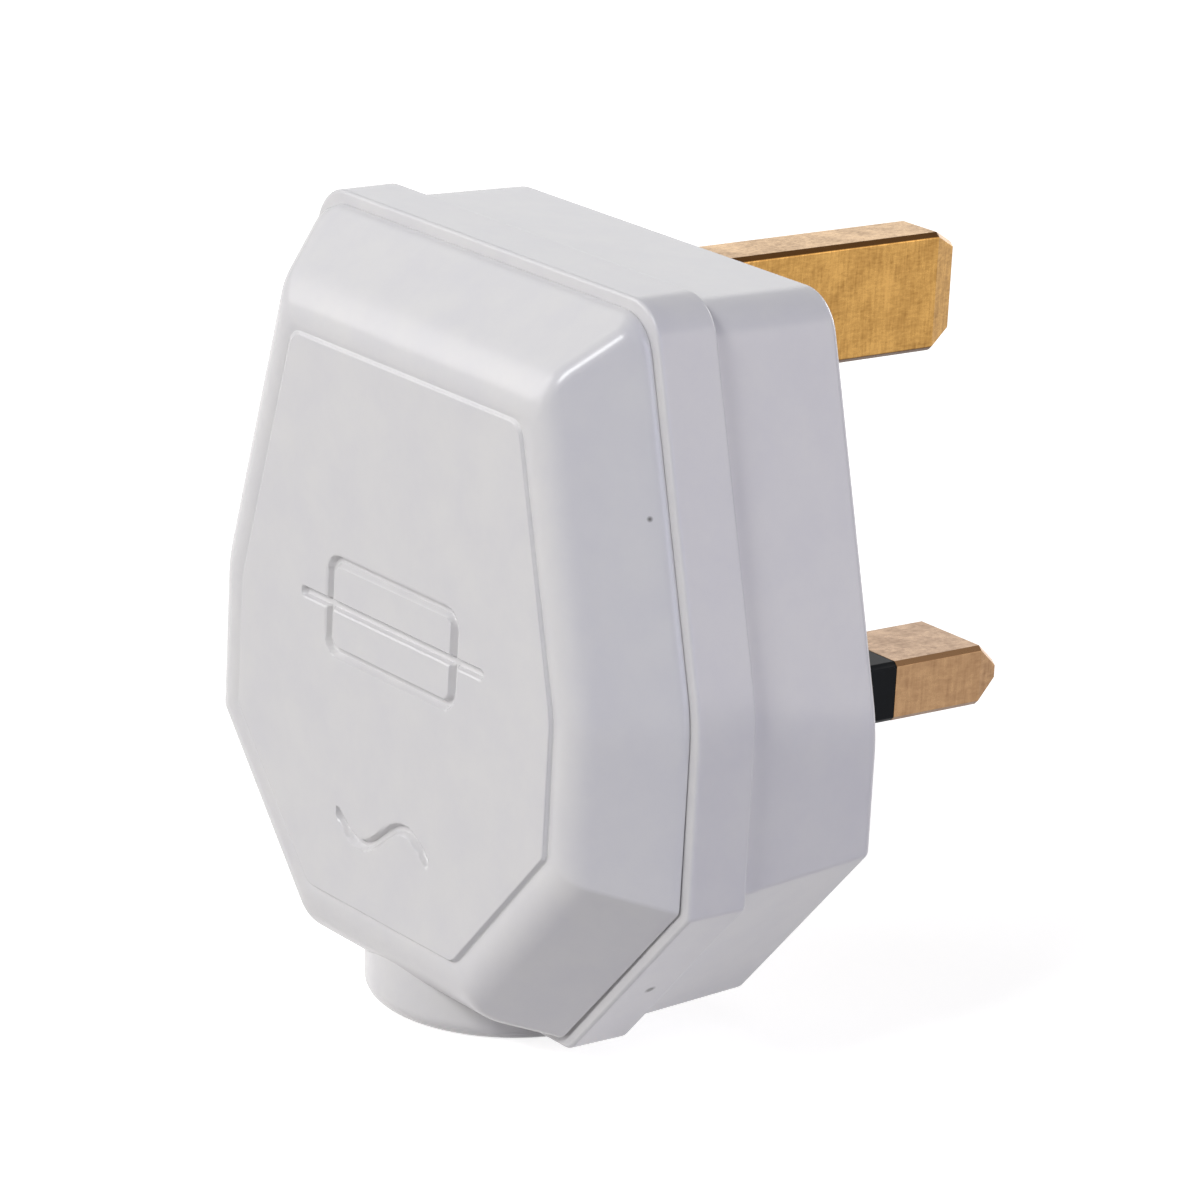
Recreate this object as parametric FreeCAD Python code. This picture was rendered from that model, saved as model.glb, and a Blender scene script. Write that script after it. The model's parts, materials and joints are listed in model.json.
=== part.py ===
"""Rewirable three pin mains plug, millimetres.

The origin is the middle of the pin face, level with the live and neutral pins.
+Y is the way the pins point, +Z is towards the earth pin, and the cover faces -Y.
Seen from the cover, the live pin and the fuse are on the right, at +X.
"""
import FreeCAD, Part
import math
import os

os.makedirs("parts", exist_ok=True)

Vec = FreeCAD.Vector
ALONG_Y = Vec(0, 1, 0)
ALONG_Z = Vec(0, 0, 1)

# Outline of the body at the parting plane: the room over the earth pin and beside the upper fuse
# clip, how far the flank leans out on the way down, and the heights and half widths of its corners
top_room = 2.57
clip_room = 3.158
flank_taper = 0.2675
hip_height = 4.5
low_height = -8.0
foot_half = 12.9
foot_height = -20.3
top_corner = 3.0
hip_corner = 14.0
low_corner = 2.0
foot_corner = 2.0

# Depths, back from the pin face
base_depth = 14.6
rim_depth = 4.45
floor_thickness = 3.6
cover_depth = 5.6

# Base moulding: insets of its rear part behind the rim and at the pin face, the rim's chamfered
# back edge, and the rounded edges, each made of edge_steps flats
rim_step = 0.7
rear_top = 0.95
rear_flank = 1.1
rear_side = 0.4
rear_chamfer = 1.4
rear_foot = 1.1
rear_edge = 0.7
rim_edge = 0.4
rim_round = 0.55
edge_steps = 2
base_wall = 2.4
floor_wall = 3.2

# Cover moulding: its inset at the parting plane, how far each wall has leaned in where it would
# meet the front, and the rounding between that wall and the front
cover_step = 0.3
side_lean = 4.8
side_round = 3.0
bevel_lean = 5.2
bevel_round = 5.2
foot_lean = 2.0
foot_round = 4.0
bevel_corner = 1.2
corner_blend = 2.0
round_sections = 4
cover_wall = 2.2
lip_height = 1.0
lip_thickness = 1.0
lip_gap = 0.2
lip_root_depth = 0.5
lip_root_inset = 1.0
panel_rise = 0.3
panel_side = 7.2
panel_top = 7.9
panel_foot = 5.4
panel_corner = 1.2

# Cord entry
collar_radius = 9.0
collar_depth = 10.4
collar_drop = 1.3
collar_edge = 1.2
cord_radius = 3.8
entry_run = 4.8
tongue_gap = 0.1
tongue_short = 1.8

# Pins, to the standard for this plug
pin_spread = 11.115
earth_rise = 22.23
earth_height = 8.0
earth_width = 4.0
earth_length = 22.73
line_width = 6.35
line_height = 4.0
line_length = 17.7
pin_edge = 0.3
earth_tip_length = 1.9
earth_tip_slope = 1.0
line_tip_length = 1.5
line_tip_slope = 1.3
earth_side_slope = 0.7
line_side_slope = 0.3
slot_gap = 0.05
sleeve_length = 9.1
sleeve_root = 2.0
sleeve_wall = 0.7

# Pillar terminals on the pins
pillar_width = 7.2
earth_pillar_width = 6.4
pillar_height = 7.2
pillar_depth = 7.4
pillar_edge = 0.5
wire_hole = 1.6
wire_hole_depth = 4.0
earth_pillar_drop = 0.23

# Terminal screws
screw_radius = 1.5
screw_length = 3.2
screw_head = 2.2
screw_head_height = 1.4
slot_width = 0.8
slot_depth = 0.7
thread_gap = 0.05

# Fuse
fuse_length = 25.4
cap_radius = 3.15
cap_length = 6.2
cap_wall = 0.4
tube_bore = 1.9
element_radius = 0.15
fuse_offset = 1.7
fuse_centre_height = 8.95
glue_gap = 0.03

# Fuse clips, the plates they are riveted to, and the live terminal
clip_sheet = 0.5
clip_length = 5.0
clip_gap = 0.05
clip_mouth = 2.3
clip_inset = 3.1
clip_bend = 0.9
rivet_room = 0.8
rivet_radius = 1.0
rivet_head = 1.7
rivet_head_height = 0.6
plate_thickness = 1.8
plate_half = 3.4
strip_margin = 0.3
live_block_left = 4.6
live_block_right = 9.0
live_block_low = 9.6
live_block_high = 15.8
live_screw_height = 13.4

# Cover screw
boss_height = 8.0
boss_radius = 4.0
boss_meet = 12.0
screw_seat = 2.4
cover_head_radius = 3.3
cover_head_height = 2.0
cover_head_gap = 0.3
cover_screw_radius = 1.75
cover_screw_length = 13.6
cover_screw_gap = 0.2
retainer_radius = 3.2
retainer_thickness = 0.6
insert_radius = 2.6
insert_length = 5.0

# Cord grip
grip_half = 11.2
grip_low = -15.6
grip_high = -9.8
grip_thickness = 2.0
grip_corner = 1.4
grip_seat = 9.6
grip_ridge = 0.8
grip_ridge_half = 5.0
grip_boss_x = 8.2
grip_boss_radius = 2.5
grip_screw_radius = 1.4
grip_screw_length = 6.0
grip_head = 2.7
grip_head_height = 1.8
grip_hole_room = 1.0
saddle_height = 2.0
saddle_width = 1.2

# Ribs of the base that part the terminals, and posts of the cover that hold the pins down
rib_thickness = 1.2
rib_gap = 0.8
rib_depth = 9.0
post_gap = 0.2
post_thickness = 1.2
post_half = 2.4
post_inset = 0.2
post_root = 0.5

# How far a cut runs past a face, and how near two places are to count as one
overcut = 1.0
same_place = 1e-3

top_height = earth_rise + earth_height / 2 + top_room
collar_bottom = foot_height - collar_drop
entry_top = foot_height + entry_run
grip_middle = (grip_low + grip_high) / 2
pillar_face = floor_thickness + pillar_depth
fuse_x = pin_spread + fuse_offset
plate_face = floor_thickness + plate_thickness
fuse_depth = plate_face + clip_sheet + rivet_room + cap_radius
fuse_low = fuse_centre_height - fuse_length / 2
fuse_high = fuse_centre_height + fuse_length / 2
tube_radius = cap_radius - cap_wall
lower_clip_height = fuse_low + clip_inset
upper_clip_height = fuse_high - clip_inset
clip_half = cap_radius + clip_gap + clip_sheet
clip_top = upper_clip_height + clip_length / 2
top_half = fuse_x + clip_half + clip_room - (top_height - clip_top) * flank_taper
hip_half = fuse_x + clip_half + clip_room + (clip_top - hip_height) * flank_taper


def box(x0, x1, y0, y1, z0, z1):
    """Block between two corners, each pair of limits in rising order."""
    return Part.makeBox(x1 - x0, y1 - y0, z1 - z0, Vec(x0, y0, z0))


def rod(x, z, radius, y0, y1):
    """Cylinder along Y between two depths."""
    return Part.makeCylinder(radius, y1 - y0, Vec(x, y0, z), ALONG_Y)


def upright(x, y, radius, z0, z1):
    """Cylinder along Z between two heights."""
    return Part.makeCylinder(radius, z1 - z0, Vec(x, y, z0), ALONG_Z)


def edges_along(shape, direction, keep=lambda edge: True):
    """Straight edges of a shape that run along a direction and pass a test."""
    found = []
    for edge in shape.Edges:
        if not isinstance(edge.Curve, Part.Line):
            continue
        slant = abs(edge.tangentAt(edge.FirstParameter).dot(direction))
        if abs(slant - 1) < same_place ** 2 and keep(edge):
            found.append(edge)
    return found


def wall_line(start, end):
    """Line through two outline corners as its outward normal (x, z) and distance from the origin."""
    run_x = end[0] - start[0]
    run_z = end[1] - start[1]
    length = math.hypot(run_x, run_z)
    normal = (run_z / length, -run_x / length)
    return normal[0], normal[1], normal[0] * start[0] + normal[1] * start[1]


def crossing(first, second):
    """Point where two wall lines cross."""
    turn = first[0] * second[1] - second[0] * first[1]
    x = (first[2] * second[1] - second[2] * first[1]) / turn
    z = (first[0] * second[2] - second[0] * first[2]) / turn
    return x, z


def half_walls():
    """The five wall lines of the right half of the parting outline, from the top down."""
    corners = [
        (0.0, top_height),
        (top_half, top_height),
        (hip_half, hip_height),
        (hip_half, low_height),
        (foot_half, foot_height),
        (0.0, foot_height),
    ]
    return [wall_line(low, high) for high, low in zip(corners, corners[1:])]


def rounded_wire(points, radii, y):
    """Closed wire in the plane at depth y through (x, z) points, with its corners rounded."""
    count = len(points)
    arcs = []
    for index in range(count):
        corner = Vec(points[index][0], y, points[index][1])
        before = Vec(points[index - 1][0], y, points[index - 1][1])
        after = Vec(points[(index + 1) % count][0], y, points[(index + 1) % count][1])
        to_before = (before - corner).normalize()
        to_after = (after - corner).normalize()
        half_angle = to_before.getAngle(to_after) / 2
        reach = radii[index] / math.tan(half_angle)
        bisector = (to_before + to_after).normalize()
        middle = corner + bisector * (radii[index] / math.sin(half_angle) - radii[index])
        arcs.append(Part.Arc(corner + to_before * reach, middle, corner + to_after * reach).toShape())
    edges = []
    for index, arc in enumerate(arcs):
        following = arcs[(index + 1) % count]
        edges.append(arc)
        edges.append(Part.makeLine(arc.Vertexes[-1].Point, following.Vertexes[0].Point))
    return Part.Wire(edges)


def outline_corners(insets):
    """Sharp corners (x, z) of the outline with its five walls, from the top down, moved in."""
    walls = [(nx, nz, reach - inset) for (nx, nz, reach), inset in zip(half_walls(), insets)]
    right = [crossing(upper, lower) for upper, lower in zip(walls, walls[1:])]
    left = [(-x, z) for x, z in reversed(right)]
    return right + left


def body_outline(y, top, flank, side, chamfer, foot, top_radius=top_corner):
    """Outline of the body at depth y with each wall moved in by its own inset."""
    radii = [top_radius, hip_corner - side, low_corner, foot_corner]
    return rounded_wire(outline_corners((top, flank, side, chamfer, foot)), radii + radii[::-1], y)


def even_outline(y, inset):
    """Outline of the body at depth y with every wall moved in by the same inset."""
    return body_outline(y, inset, inset, inset, inset, inset)


def inner_outline(y, top, side, foot):
    """Outline of a hollow at depth y: straight walls that meet at sharp corners."""
    points = [Vec(x, y, z) for x, z in outline_corners((top, side, side, side, foot))]
    return Part.makePolygon(points + points[:1])


def prism(wire, y_end):
    """Solid between a flat wire and the plane at depth y_end."""
    start = wire.Vertexes[0].Point.y
    return Part.Face(wire).extrude(Vec(0, y_end - start, 0))


def rounded_edge(radius):
    """Points of a rounded edge as (distance from the face, inset), from the wall to the face."""
    points = []
    for step in range(edge_steps + 1):
        angle = math.pi / 2 * step / edge_steps
        points.append((radius * (1 - math.sin(angle)), radius * (1 - math.cos(angle))))
    return points


def rolled_inset(depth, lean, radius):
    """Inset of a cover wall at a depth in front of the parting plane.

    The wall leans in a straight line from cover_step at the parting plane towards the sharp
    corner at (cover_depth, lean), then rolls over an arc that is tangent to it and to the front.
    """
    slope = math.atan2(lean - cover_step, cover_depth)
    reach = radius * math.tan((math.pi / 2 - slope) / 2)
    if depth <= cover_depth - reach * math.cos(slope):
        return cover_step + depth * math.tan(slope)
    above_centre = depth - (cover_depth - radius)
    return lean + reach - math.sqrt(max(radius * radius - above_centre * above_centre, 0.0))


def cover_section(depth):
    """Outline of the cover's outside at a depth in front of the parting plane."""
    side = rolled_inset(depth, side_lean, side_round)
    foot = rolled_inset(depth, foot_lean, foot_round)
    top = rolled_inset(depth, bevel_lean, bevel_round)
    share = min(depth / corner_blend, 1.0)
    corner = top_corner + (bevel_corner - top_corner) * share
    return body_outline(-base_depth - depth, top, side, side, side, foot, top_radius=corner)


def cover_outside():
    """Outer form of the cover: leaning walls, then walls that roll over into the front."""
    slope = math.atan2(side_lean - cover_step, cover_depth)
    arc_depths = []
    for level in range(round_sections + 1):
        angle = slope + (math.pi / 2 - slope) * level / round_sections
        arc_depths.append(cover_depth - side_round + side_round * math.sin(angle))
    straight_depths = [0.0, corner_blend, arc_depths[0]]
    straight = Part.makeLoft([cover_section(depth) for depth in straight_depths], True, True)
    rolled = Part.makeLoft([cover_section(depth) for depth in arc_depths], True, True)
    return straight.fuse(rolled)


def panel():
    """Raised flat panel on the front."""
    front = -base_depth - cover_depth
    wire = body_outline(front + panel_rise, panel_top, panel_side, panel_side, panel_side, panel_foot,
                        top_radius=panel_corner)
    return prism(wire, front - panel_rise)


def collar(y0, y1):
    """Round collar of the cord entry with its rounded mouth, the part of it between two depths."""
    outline = [Vec(0, -collar_depth, entry_top), Vec(0, -collar_depth, collar_bottom)]
    for away, inset in rounded_edge(collar_edge)[::-1]:
        outline.append(Vec(collar_radius - inset, -collar_depth, collar_bottom + away))
    outline.append(Vec(collar_radius, -collar_depth, entry_top))
    outline.append(outline[0])
    section = Part.Face(Part.makePolygon(outline))
    barrel = section.revolve(Vec(0, -collar_depth, 0), ALONG_Z, 360)
    reach = 2 * collar_radius
    return barrel.common(box(-reach, reach, y0, y1, collar_bottom - overcut, entry_top + overcut))


def cord_way():
    """Bore of the cord entry, from below the collar into the hollow."""
    return upright(0, -collar_depth, cord_radius, collar_bottom - overcut, entry_top + overcut)


def base_cavity():
    """Hollow of the base, from the floor to the parting plane."""
    mouth = inner_outline(-base_depth, base_wall, base_wall, base_wall)
    floor = inner_outline(-floor_thickness, floor_wall, floor_wall, floor_wall)
    return Part.makeLoft([mouth, floor], True, True)


def cover_cavity():
    """Hollow of the cover, from the parting plane to the inside of its front."""
    depth = cover_depth - cover_wall
    side = side_lean * depth / cover_depth + cover_wall
    foot = foot_lean * depth / cover_depth + cover_wall
    top = bevel_lean * depth / cover_depth + cover_wall * math.sqrt(2)
    mouth = inner_outline(-base_depth, base_wall, base_wall, base_wall)
    roof = inner_outline(-base_depth - depth, top, side, foot)
    return Part.makeLoft([mouth, roof], True, True)


def base_outside():
    """Outer form of the base: rim, then the narrower part that tapers to the pin face."""
    rim_back = -base_depth + rim_depth
    front_edge = [even_outline(-base_depth + away, inset) for away, inset in rounded_edge(rim_round)]
    back_edge = [even_outline(rim_back - rim_edge, 0.0), even_outline(rim_back, rim_edge)]
    rim = Part.makeLoft(front_edge[::-1] + back_edge, True, True)
    rear = [even_outline(-base_depth + rim_round, rim_step)]
    for away, inset in rounded_edge(rear_edge):
        rear.append(body_outline(-away, rear_top + inset, rear_flank + inset, rear_side + inset,
                                 rear_chamfer + inset, rear_foot + inset))
    return rim.fuse(Part.makeLoft(rear, True, True))


def ribs():
    """Low walls on the base's floor that part the terminals, as (x0, x1, z0, z1)."""
    half = rib_thickness / 2
    neutral_x = -pin_spread + pillar_width / 2 + rib_thickness
    bar_low = live_block_high + rib_gap
    left_end = live_block_left - rib_thickness
    plans = [
        (neutral_x - half, neutral_x + half, grip_high + rib_thickness, live_block_high),
        (left_end, live_block_right, bar_low, bar_low + rib_thickness),
        (left_end + half, left_end + half + rib_thickness, grip_high + rib_thickness,
         boss_height - boss_radius),
    ]
    shapes = [box(x0, x1, -rib_depth, -floor_thickness, z0, z1) for x0, x1, z0, z1 in plans]
    for height in (grip_low, grip_high - saddle_width):
        shapes.append(box(-grip_ridge_half, grip_ridge_half, -floor_thickness - saddle_height,
                          -floor_thickness, height, height + saddle_width))
    return shapes


def base():
    """Rear moulding that carries the pins, the fuse and the cord grip."""
    floor = -floor_thickness
    body = base_outside().fuse(collar(-base_depth, -rim_step)).cut(base_cavity())
    pillar = rod(0, boss_height, boss_radius, -boss_meet + retainer_thickness, floor)
    bosses = [rod(x, grip_middle, grip_boss_radius, -grip_seat, floor)
              for x in (-grip_boss_x, grip_boss_x)]
    body = body.fuse([pillar] + bosses + ribs())

    cuts = [
        box(-earth_width / 2 - slot_gap, earth_width / 2 + slot_gap, floor - overcut, overcut,
            earth_rise - earth_height / 2 - slot_gap, earth_rise + earth_height / 2 + slot_gap),
        rod(0, boss_height, cover_screw_radius + cover_screw_gap, -boss_meet - overcut, overcut),
        rod(0, boss_height, cover_head_radius + cover_head_gap, -screw_seat, overcut),
    ]
    for x in (-pin_spread, pin_spread):
        cuts.append(box(x - line_width / 2 - slot_gap, x + line_width / 2 + slot_gap, floor - overcut,
                        overcut, -line_height / 2 - slot_gap, line_height / 2 + slot_gap))
    hole_end = -grip_seat - grip_thickness + grip_screw_length + grip_hole_room
    for x in (-grip_boss_x, grip_boss_x):
        cuts.append(rod(x, grip_middle, grip_screw_radius + thread_gap, -grip_seat - overcut, hole_end))
    cuts.append(cord_way())
    cuts.append(box(-cord_radius, cord_radius, -base_depth - overcut, -collar_depth,
                    collar_bottom - overcut, entry_top + overcut))
    return body.cut(cuts)


def locating_lip():
    """Lip of the cover that stands inside the base's wall, with its root in the cover's wall."""
    parting = -base_depth
    inner = base_wall + lip_gap
    inside = inner + lip_thickness
    lip = prism(inner_outline(parting - lip_root_depth, inner, inner, inner), parting + lip_height)
    root = prism(inner_outline(parting - lip_root_depth, lip_root_inset, lip_root_inset, lip_root_inset),
                 parting)
    hollow = prism(inner_outline(parting - overcut, inside, inside, inside),
                   parting + lip_height + overcut)
    mouth = box(-cord_radius, cord_radius, parting, parting + lip_height + overcut, foot_height, entry_top)
    return lip.fuse(root).cut([hollow, mouth])


def cover():
    """Front moulding: bevelled shell with the raised panel, screw boss, lip and cord tongue."""
    parting = -base_depth
    root = parting - (cover_depth - cover_wall) - post_root
    body = cover_outside().fuse([panel(), collar(parting - cover_depth, parting)])
    body = body.cut(cover_cavity())
    tongue = box(-cord_radius + tongue_gap, cord_radius - tongue_gap, parting - lip_root_depth,
                 -collar_depth - tongue_short, collar_bottom,
                 foot_height + base_wall + lip_gap + lip_thickness)
    boss = rod(0, boss_height, boss_radius, root, -boss_meet)
    body = body.fuse([locating_lip(), tongue, boss] + posts(root))
    insert_hole = rod(0, boss_height, insert_radius, -boss_meet - insert_length, -boss_meet + overcut)
    return body.cut([insert_hole, cord_way()])


def posts(root):
    """Posts from the cover's inside that stop just short of the pin and terminal heads."""
    tip = -pillar_face - post_gap
    earth_low = earth_rise - earth_height / 2
    neutral_left = -pin_spread - pillar_width / 2
    return [
        box(-post_half, post_half, root, tip, earth_low, earth_low + post_thickness),
        box(neutral_left, neutral_left + post_thickness, root, tip, -post_half, post_half),
        box(live_block_left + post_inset, live_block_right - post_inset, root, tip,
            live_block_low, live_block_low + post_thickness),
    ]


def chamfered_wire(x, z, half_width, half_height, y):
    """Rectangle about (x, z) at depth y with its corners cut off by pin_edge."""
    inner_width = half_width - pin_edge
    inner_height = half_height - pin_edge
    quarter = [(half_width, inner_height), (inner_width, half_height)]
    points = []
    for turn_x, turn_z in ((1, 1), (-1, 1), (-1, -1), (1, -1)):
        side = quarter if turn_x * turn_z > 0 else quarter[::-1]
        points += [Vec(x + turn_x * across, y, z + turn_z * up) for across, up in side]
    return Part.makePolygon(points + points[:1])


def bar_pin(x, z, width, height, length, tip_length, tip_slope, side_slope):
    """Plain brass bar from the floor's inner face to its tapered tip."""
    sections = [
        chamfered_wire(x, z, width / 2, height / 2, -floor_thickness),
        chamfered_wire(x, z, width / 2, height / 2, length - tip_length),
        chamfered_wire(x, z, width / 2 - side_slope, height / 2 - tip_slope, length),
    ]
    return Part.makeLoft(sections, True, True)


def pillar(x, z, width, height, screw_z):
    """Pillar terminal block on the floor, with a wire hole along Z and a screw hole along Y."""
    block = box(x - width / 2, x + width / 2, -pillar_face, -floor_thickness,
                z - height / 2, z + height / 2)
    block = block.makeChamfer(pillar_edge, edges_along(block, ALONG_Y))
    wire_way = upright(x, -floor_thickness - wire_hole_depth, wire_hole, z - height, z + height)
    screw_way = rod(x, screw_z, screw_radius + thread_gap, -pillar_face - overcut,
                    -floor_thickness - wire_hole_depth)
    return block.cut([wire_way, screw_way])


def earth_pin():
    """Long pin with its pillar terminal, one piece of brass."""
    shank = bar_pin(0, earth_rise, earth_width, earth_height, earth_length, earth_tip_length,
                    earth_tip_slope, earth_side_slope)
    centre = earth_rise - earth_pillar_drop
    return shank.fuse(pillar(0, centre, earth_pillar_width, pillar_height, centre))


def sleeve_band(x, inset):
    """Block that fills the sleeved length of a line pin, moved in by an inset."""
    half_w = line_width / 2 - inset
    half_h = line_height / 2 - inset
    return box(x - half_w, x + half_w, -sleeve_root, sleeve_length, -half_h, half_h)


def line_pin(x):
    """Bar of a line pin, necked down where the sleeve goes."""
    bar = bar_pin(x, 0, line_width, line_height, line_length, line_tip_length, line_tip_slope,
                  line_side_slope)
    neck = sleeve_band(x, -overcut).cut(sleeve_band(x, sleeve_wall))
    return bar.cut(neck)


def sleeve(x):
    """Insulating sleeve moulded round the neck of a line pin, flush with the brass."""
    band = prism(chamfered_wire(x, 0, line_width / 2, line_height / 2, -sleeve_root), sleeve_length)
    return band.cut(sleeve_band(x, sleeve_wall))


def neutral_pin():
    """Neutral pin with its pillar terminal."""
    x = -pin_spread
    return line_pin(x).fuse(pillar(x, 0, pillar_width, pillar_height, 0))


def live_pin():
    """Live pin with the plate that carries the lower fuse clip."""
    plate = box(pin_spread - plate_half, fuse_x + plate_half, -plate_face, -floor_thickness,
                -plate_half, plate_half)
    plate = plate.makeChamfer(pillar_edge, edges_along(plate, ALONG_Y))
    hole = rod(fuse_x, lower_clip_height, rivet_radius, -plate_face - overcut, -floor_thickness)
    return line_pin(pin_spread).fuse(plate).cut(hole)


def live_terminal():
    """Strip under the fuse's upper clip, with the live pillar beside the fuse."""
    strip_top = upper_clip_height + clip_length / 2 + strip_margin
    strip = box(live_block_left, fuse_x + plate_half, -plate_face, -floor_thickness,
                live_block_low, live_block_high)
    arm = box(fuse_x - plate_half, fuse_x + plate_half, -plate_face, -floor_thickness,
              live_block_low, strip_top)
    middle = (live_block_left + live_block_right) / 2
    block = pillar(middle, (live_block_low + live_block_high) / 2, live_block_right - live_block_left,
                   live_block_high - live_block_low, live_screw_height)
    hole = rod(fuse_x, upper_clip_height, rivet_radius, -plate_face - overcut, -floor_thickness)
    return strip.fuse(arm).fuse(block).cut(hole)


def slotted_screw(x, z, seat, radius, length, head_radius, head_height):
    """Cheese head screw that enters along +Y, its head resting on the plane at depth seat."""
    shank = rod(x, z, radius, -seat, -seat + length)
    head = rod(x, z, head_radius, -seat - head_height, -seat)
    slot = box(x - head_radius, x + head_radius, -seat - head_height, -seat - head_height + slot_depth,
               z - slot_width / 2, z + slot_width / 2)
    return shank.fuse(head).cut(slot)


def terminal_screw(x, z):
    """Screw of a pillar terminal."""
    return slotted_screw(x, z, pillar_face, screw_radius, screw_length, screw_head, screw_head_height)


def fuse_clip(height):
    """Sprung clip: a U of sheet that wraps the fuse cap and opens at the front."""
    inner = cap_radius + clip_gap
    outer = inner + clip_sheet
    y = -fuse_depth
    z0 = height - clip_length / 2
    z1 = height + clip_length / 2
    reach = plate_face
    trough = box(fuse_x - outer, fuse_x + outer, y, -reach, z0, z1)
    trough = trough.makeFillet(clip_bend + clip_sheet,
                               edges_along(trough, ALONG_Z,
                                           lambda e: e.BoundBox.YMax > -reach - same_place))
    hollow = box(fuse_x - inner, fuse_x + inner, y, -reach - clip_sheet, z0, z1)
    hollow = hollow.makeFillet(clip_bend,
                               edges_along(hollow, ALONG_Z,
                                           lambda e: e.BoundBox.YMax > -reach - clip_sheet - same_place))
    trough = trough.fuse(upright(fuse_x, y, outer, z0, z1))
    hollow = hollow.fuse(upright(fuse_x, y, inner, z0, z1))
    mouth = box(fuse_x - clip_mouth, fuse_x + clip_mouth, y - 2 * outer, y, z0 - overcut, z1 + overcut)
    rivet_hole = rod(fuse_x, height, rivet_radius, -reach - overcut, -reach + overcut)
    return trough.cut([hollow, mouth, rivet_hole])


def clip_rivets():
    """Two rivets that hold the fuse clips to their plates."""
    rivets = []
    for height in (lower_clip_height, upper_clip_height):
        shank = rod(fuse_x, height, rivet_radius, -plate_face - clip_sheet, -floor_thickness)
        head = rod(fuse_x, height, rivet_head, -plate_face - clip_sheet - rivet_head_height,
                   -plate_face - clip_sheet)
        rivets.append(shank.fuse(head))
    return Part.makeCompound(rivets)


def fuse_tube():
    """Ceramic barrel of the fuse."""
    low = fuse_low + cap_wall
    high = fuse_high - cap_wall
    return upright(fuse_x, -fuse_depth, tube_radius, low, high).cut(
        upright(fuse_x, -fuse_depth, tube_bore, low, high))


def fuse_caps():
    """Metal cups on both ends of the barrel."""
    caps = []
    for end, inward in ((fuse_low, 1), (fuse_high, -1)):
        low, high = sorted((end, end + inward * cap_length))
        cup = upright(fuse_x, -fuse_depth, cap_radius, low, high)
        hollow_low, hollow_high = sorted((end + inward * cap_wall, end + inward * (cap_length + overcut)))
        cup = cup.cut(upright(fuse_x, -fuse_depth, tube_radius + glue_gap, hollow_low, hollow_high))
        caps.append(cup)
    return Part.makeCompound(caps)


def fuse_element():
    """Fuse wire along the middle of the barrel, from cap to cap."""
    return upright(fuse_x, -fuse_depth, element_radius, fuse_low + cap_wall, fuse_high - cap_wall)


def cord_grip():
    """Bar that clamps the cord, with a ridge on its underside and a hole at each end."""
    bar = box(-grip_half, grip_half, -grip_seat - grip_thickness, -grip_seat, grip_low, grip_high)
    bar = bar.makeFillet(grip_corner, edges_along(bar, ALONG_Y))
    ridge = Part.makeCylinder(grip_ridge, 2 * grip_ridge_half,
                              Vec(-grip_ridge_half, -grip_seat, grip_middle), Vec(1, 0, 0))
    holes = [rod(x, grip_middle, grip_screw_radius + cover_screw_gap,
                 -grip_seat - grip_thickness - overcut, -grip_seat + overcut)
             for x in (-grip_boss_x, grip_boss_x)]
    return bar.fuse(ridge).cut(holes)


def grip_screws():
    """Two screws that draw the cord grip onto its bosses."""
    return Part.makeCompound([
        slotted_screw(x, grip_middle, grip_seat + grip_thickness, grip_screw_radius, grip_screw_length,
                      grip_head, grip_head_height)
        for x in (-grip_boss_x, grip_boss_x)])


def cover_screw():
    """Long screw from the pin face, through the base's pillar, into the insert."""
    seat = -screw_seat
    head = rod(0, boss_height, cover_head_radius, seat, seat + cover_head_height)
    slot = box(-cover_head_radius, cover_head_radius, seat + cover_head_height - slot_depth,
               seat + cover_head_height, boss_height - slot_width / 2, boss_height + slot_width / 2)
    shank = rod(0, boss_height, cover_screw_radius, seat - cover_screw_length, seat)
    return shank.fuse(head).cut(slot)


def screw_retainer():
    """Thin fibre washer between the base's pillar and the cover's boss, tight round the screw."""
    disc = rod(0, boss_height, retainer_radius, -boss_meet, -boss_meet + retainer_thickness)
    return disc.cut(rod(0, boss_height, cover_screw_radius + thread_gap, -boss_meet - overcut, 0))


def cover_insert():
    """Threaded brass insert moulded into the cover's boss."""
    barrel = rod(0, boss_height, insert_radius, -boss_meet - insert_length, -boss_meet)
    return barrel.cut(rod(0, boss_height, cover_screw_radius + thread_gap,
                          -boss_meet - insert_length - overcut, 0))


def main():
    """Build every piece and write it to its own file."""
    pieces = {
        "base": base(),
        "cover": cover(),
        "earth_pin": earth_pin(),
        "neutral_pin": neutral_pin(),
        "live_pin": live_pin(),
        "neutral_sleeve": sleeve(-pin_spread),
        "live_sleeve": sleeve(pin_spread),
        "earth_screw": terminal_screw(0, earth_rise - earth_pillar_drop),
        "neutral_screw": terminal_screw(-pin_spread, 0),
        "live_screw": terminal_screw((live_block_left + live_block_right) / 2, live_screw_height),
        "live_terminal": live_terminal(),
        "lower_fuse_clip": fuse_clip(lower_clip_height),
        "upper_fuse_clip": fuse_clip(upper_clip_height),
        "clip_rivets": clip_rivets(),
        "fuse_tube": fuse_tube(),
        "fuse_caps": fuse_caps(),
        "fuse_element": fuse_element(),
        "cord_grip": cord_grip(),
        "grip_screws": grip_screws(),
        "cover_screw": cover_screw(),
        "screw_retainer": screw_retainer(),
        "cover_insert": cover_insert(),
    }
    for name, shape in pieces.items():
        print(name, len(shape.Solids), "solid(s), valid", shape.isValid(), round(shape.Volume, 2), "mm3")
        shape.exportStep("parts/" + name + ".step")


main()
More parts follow.
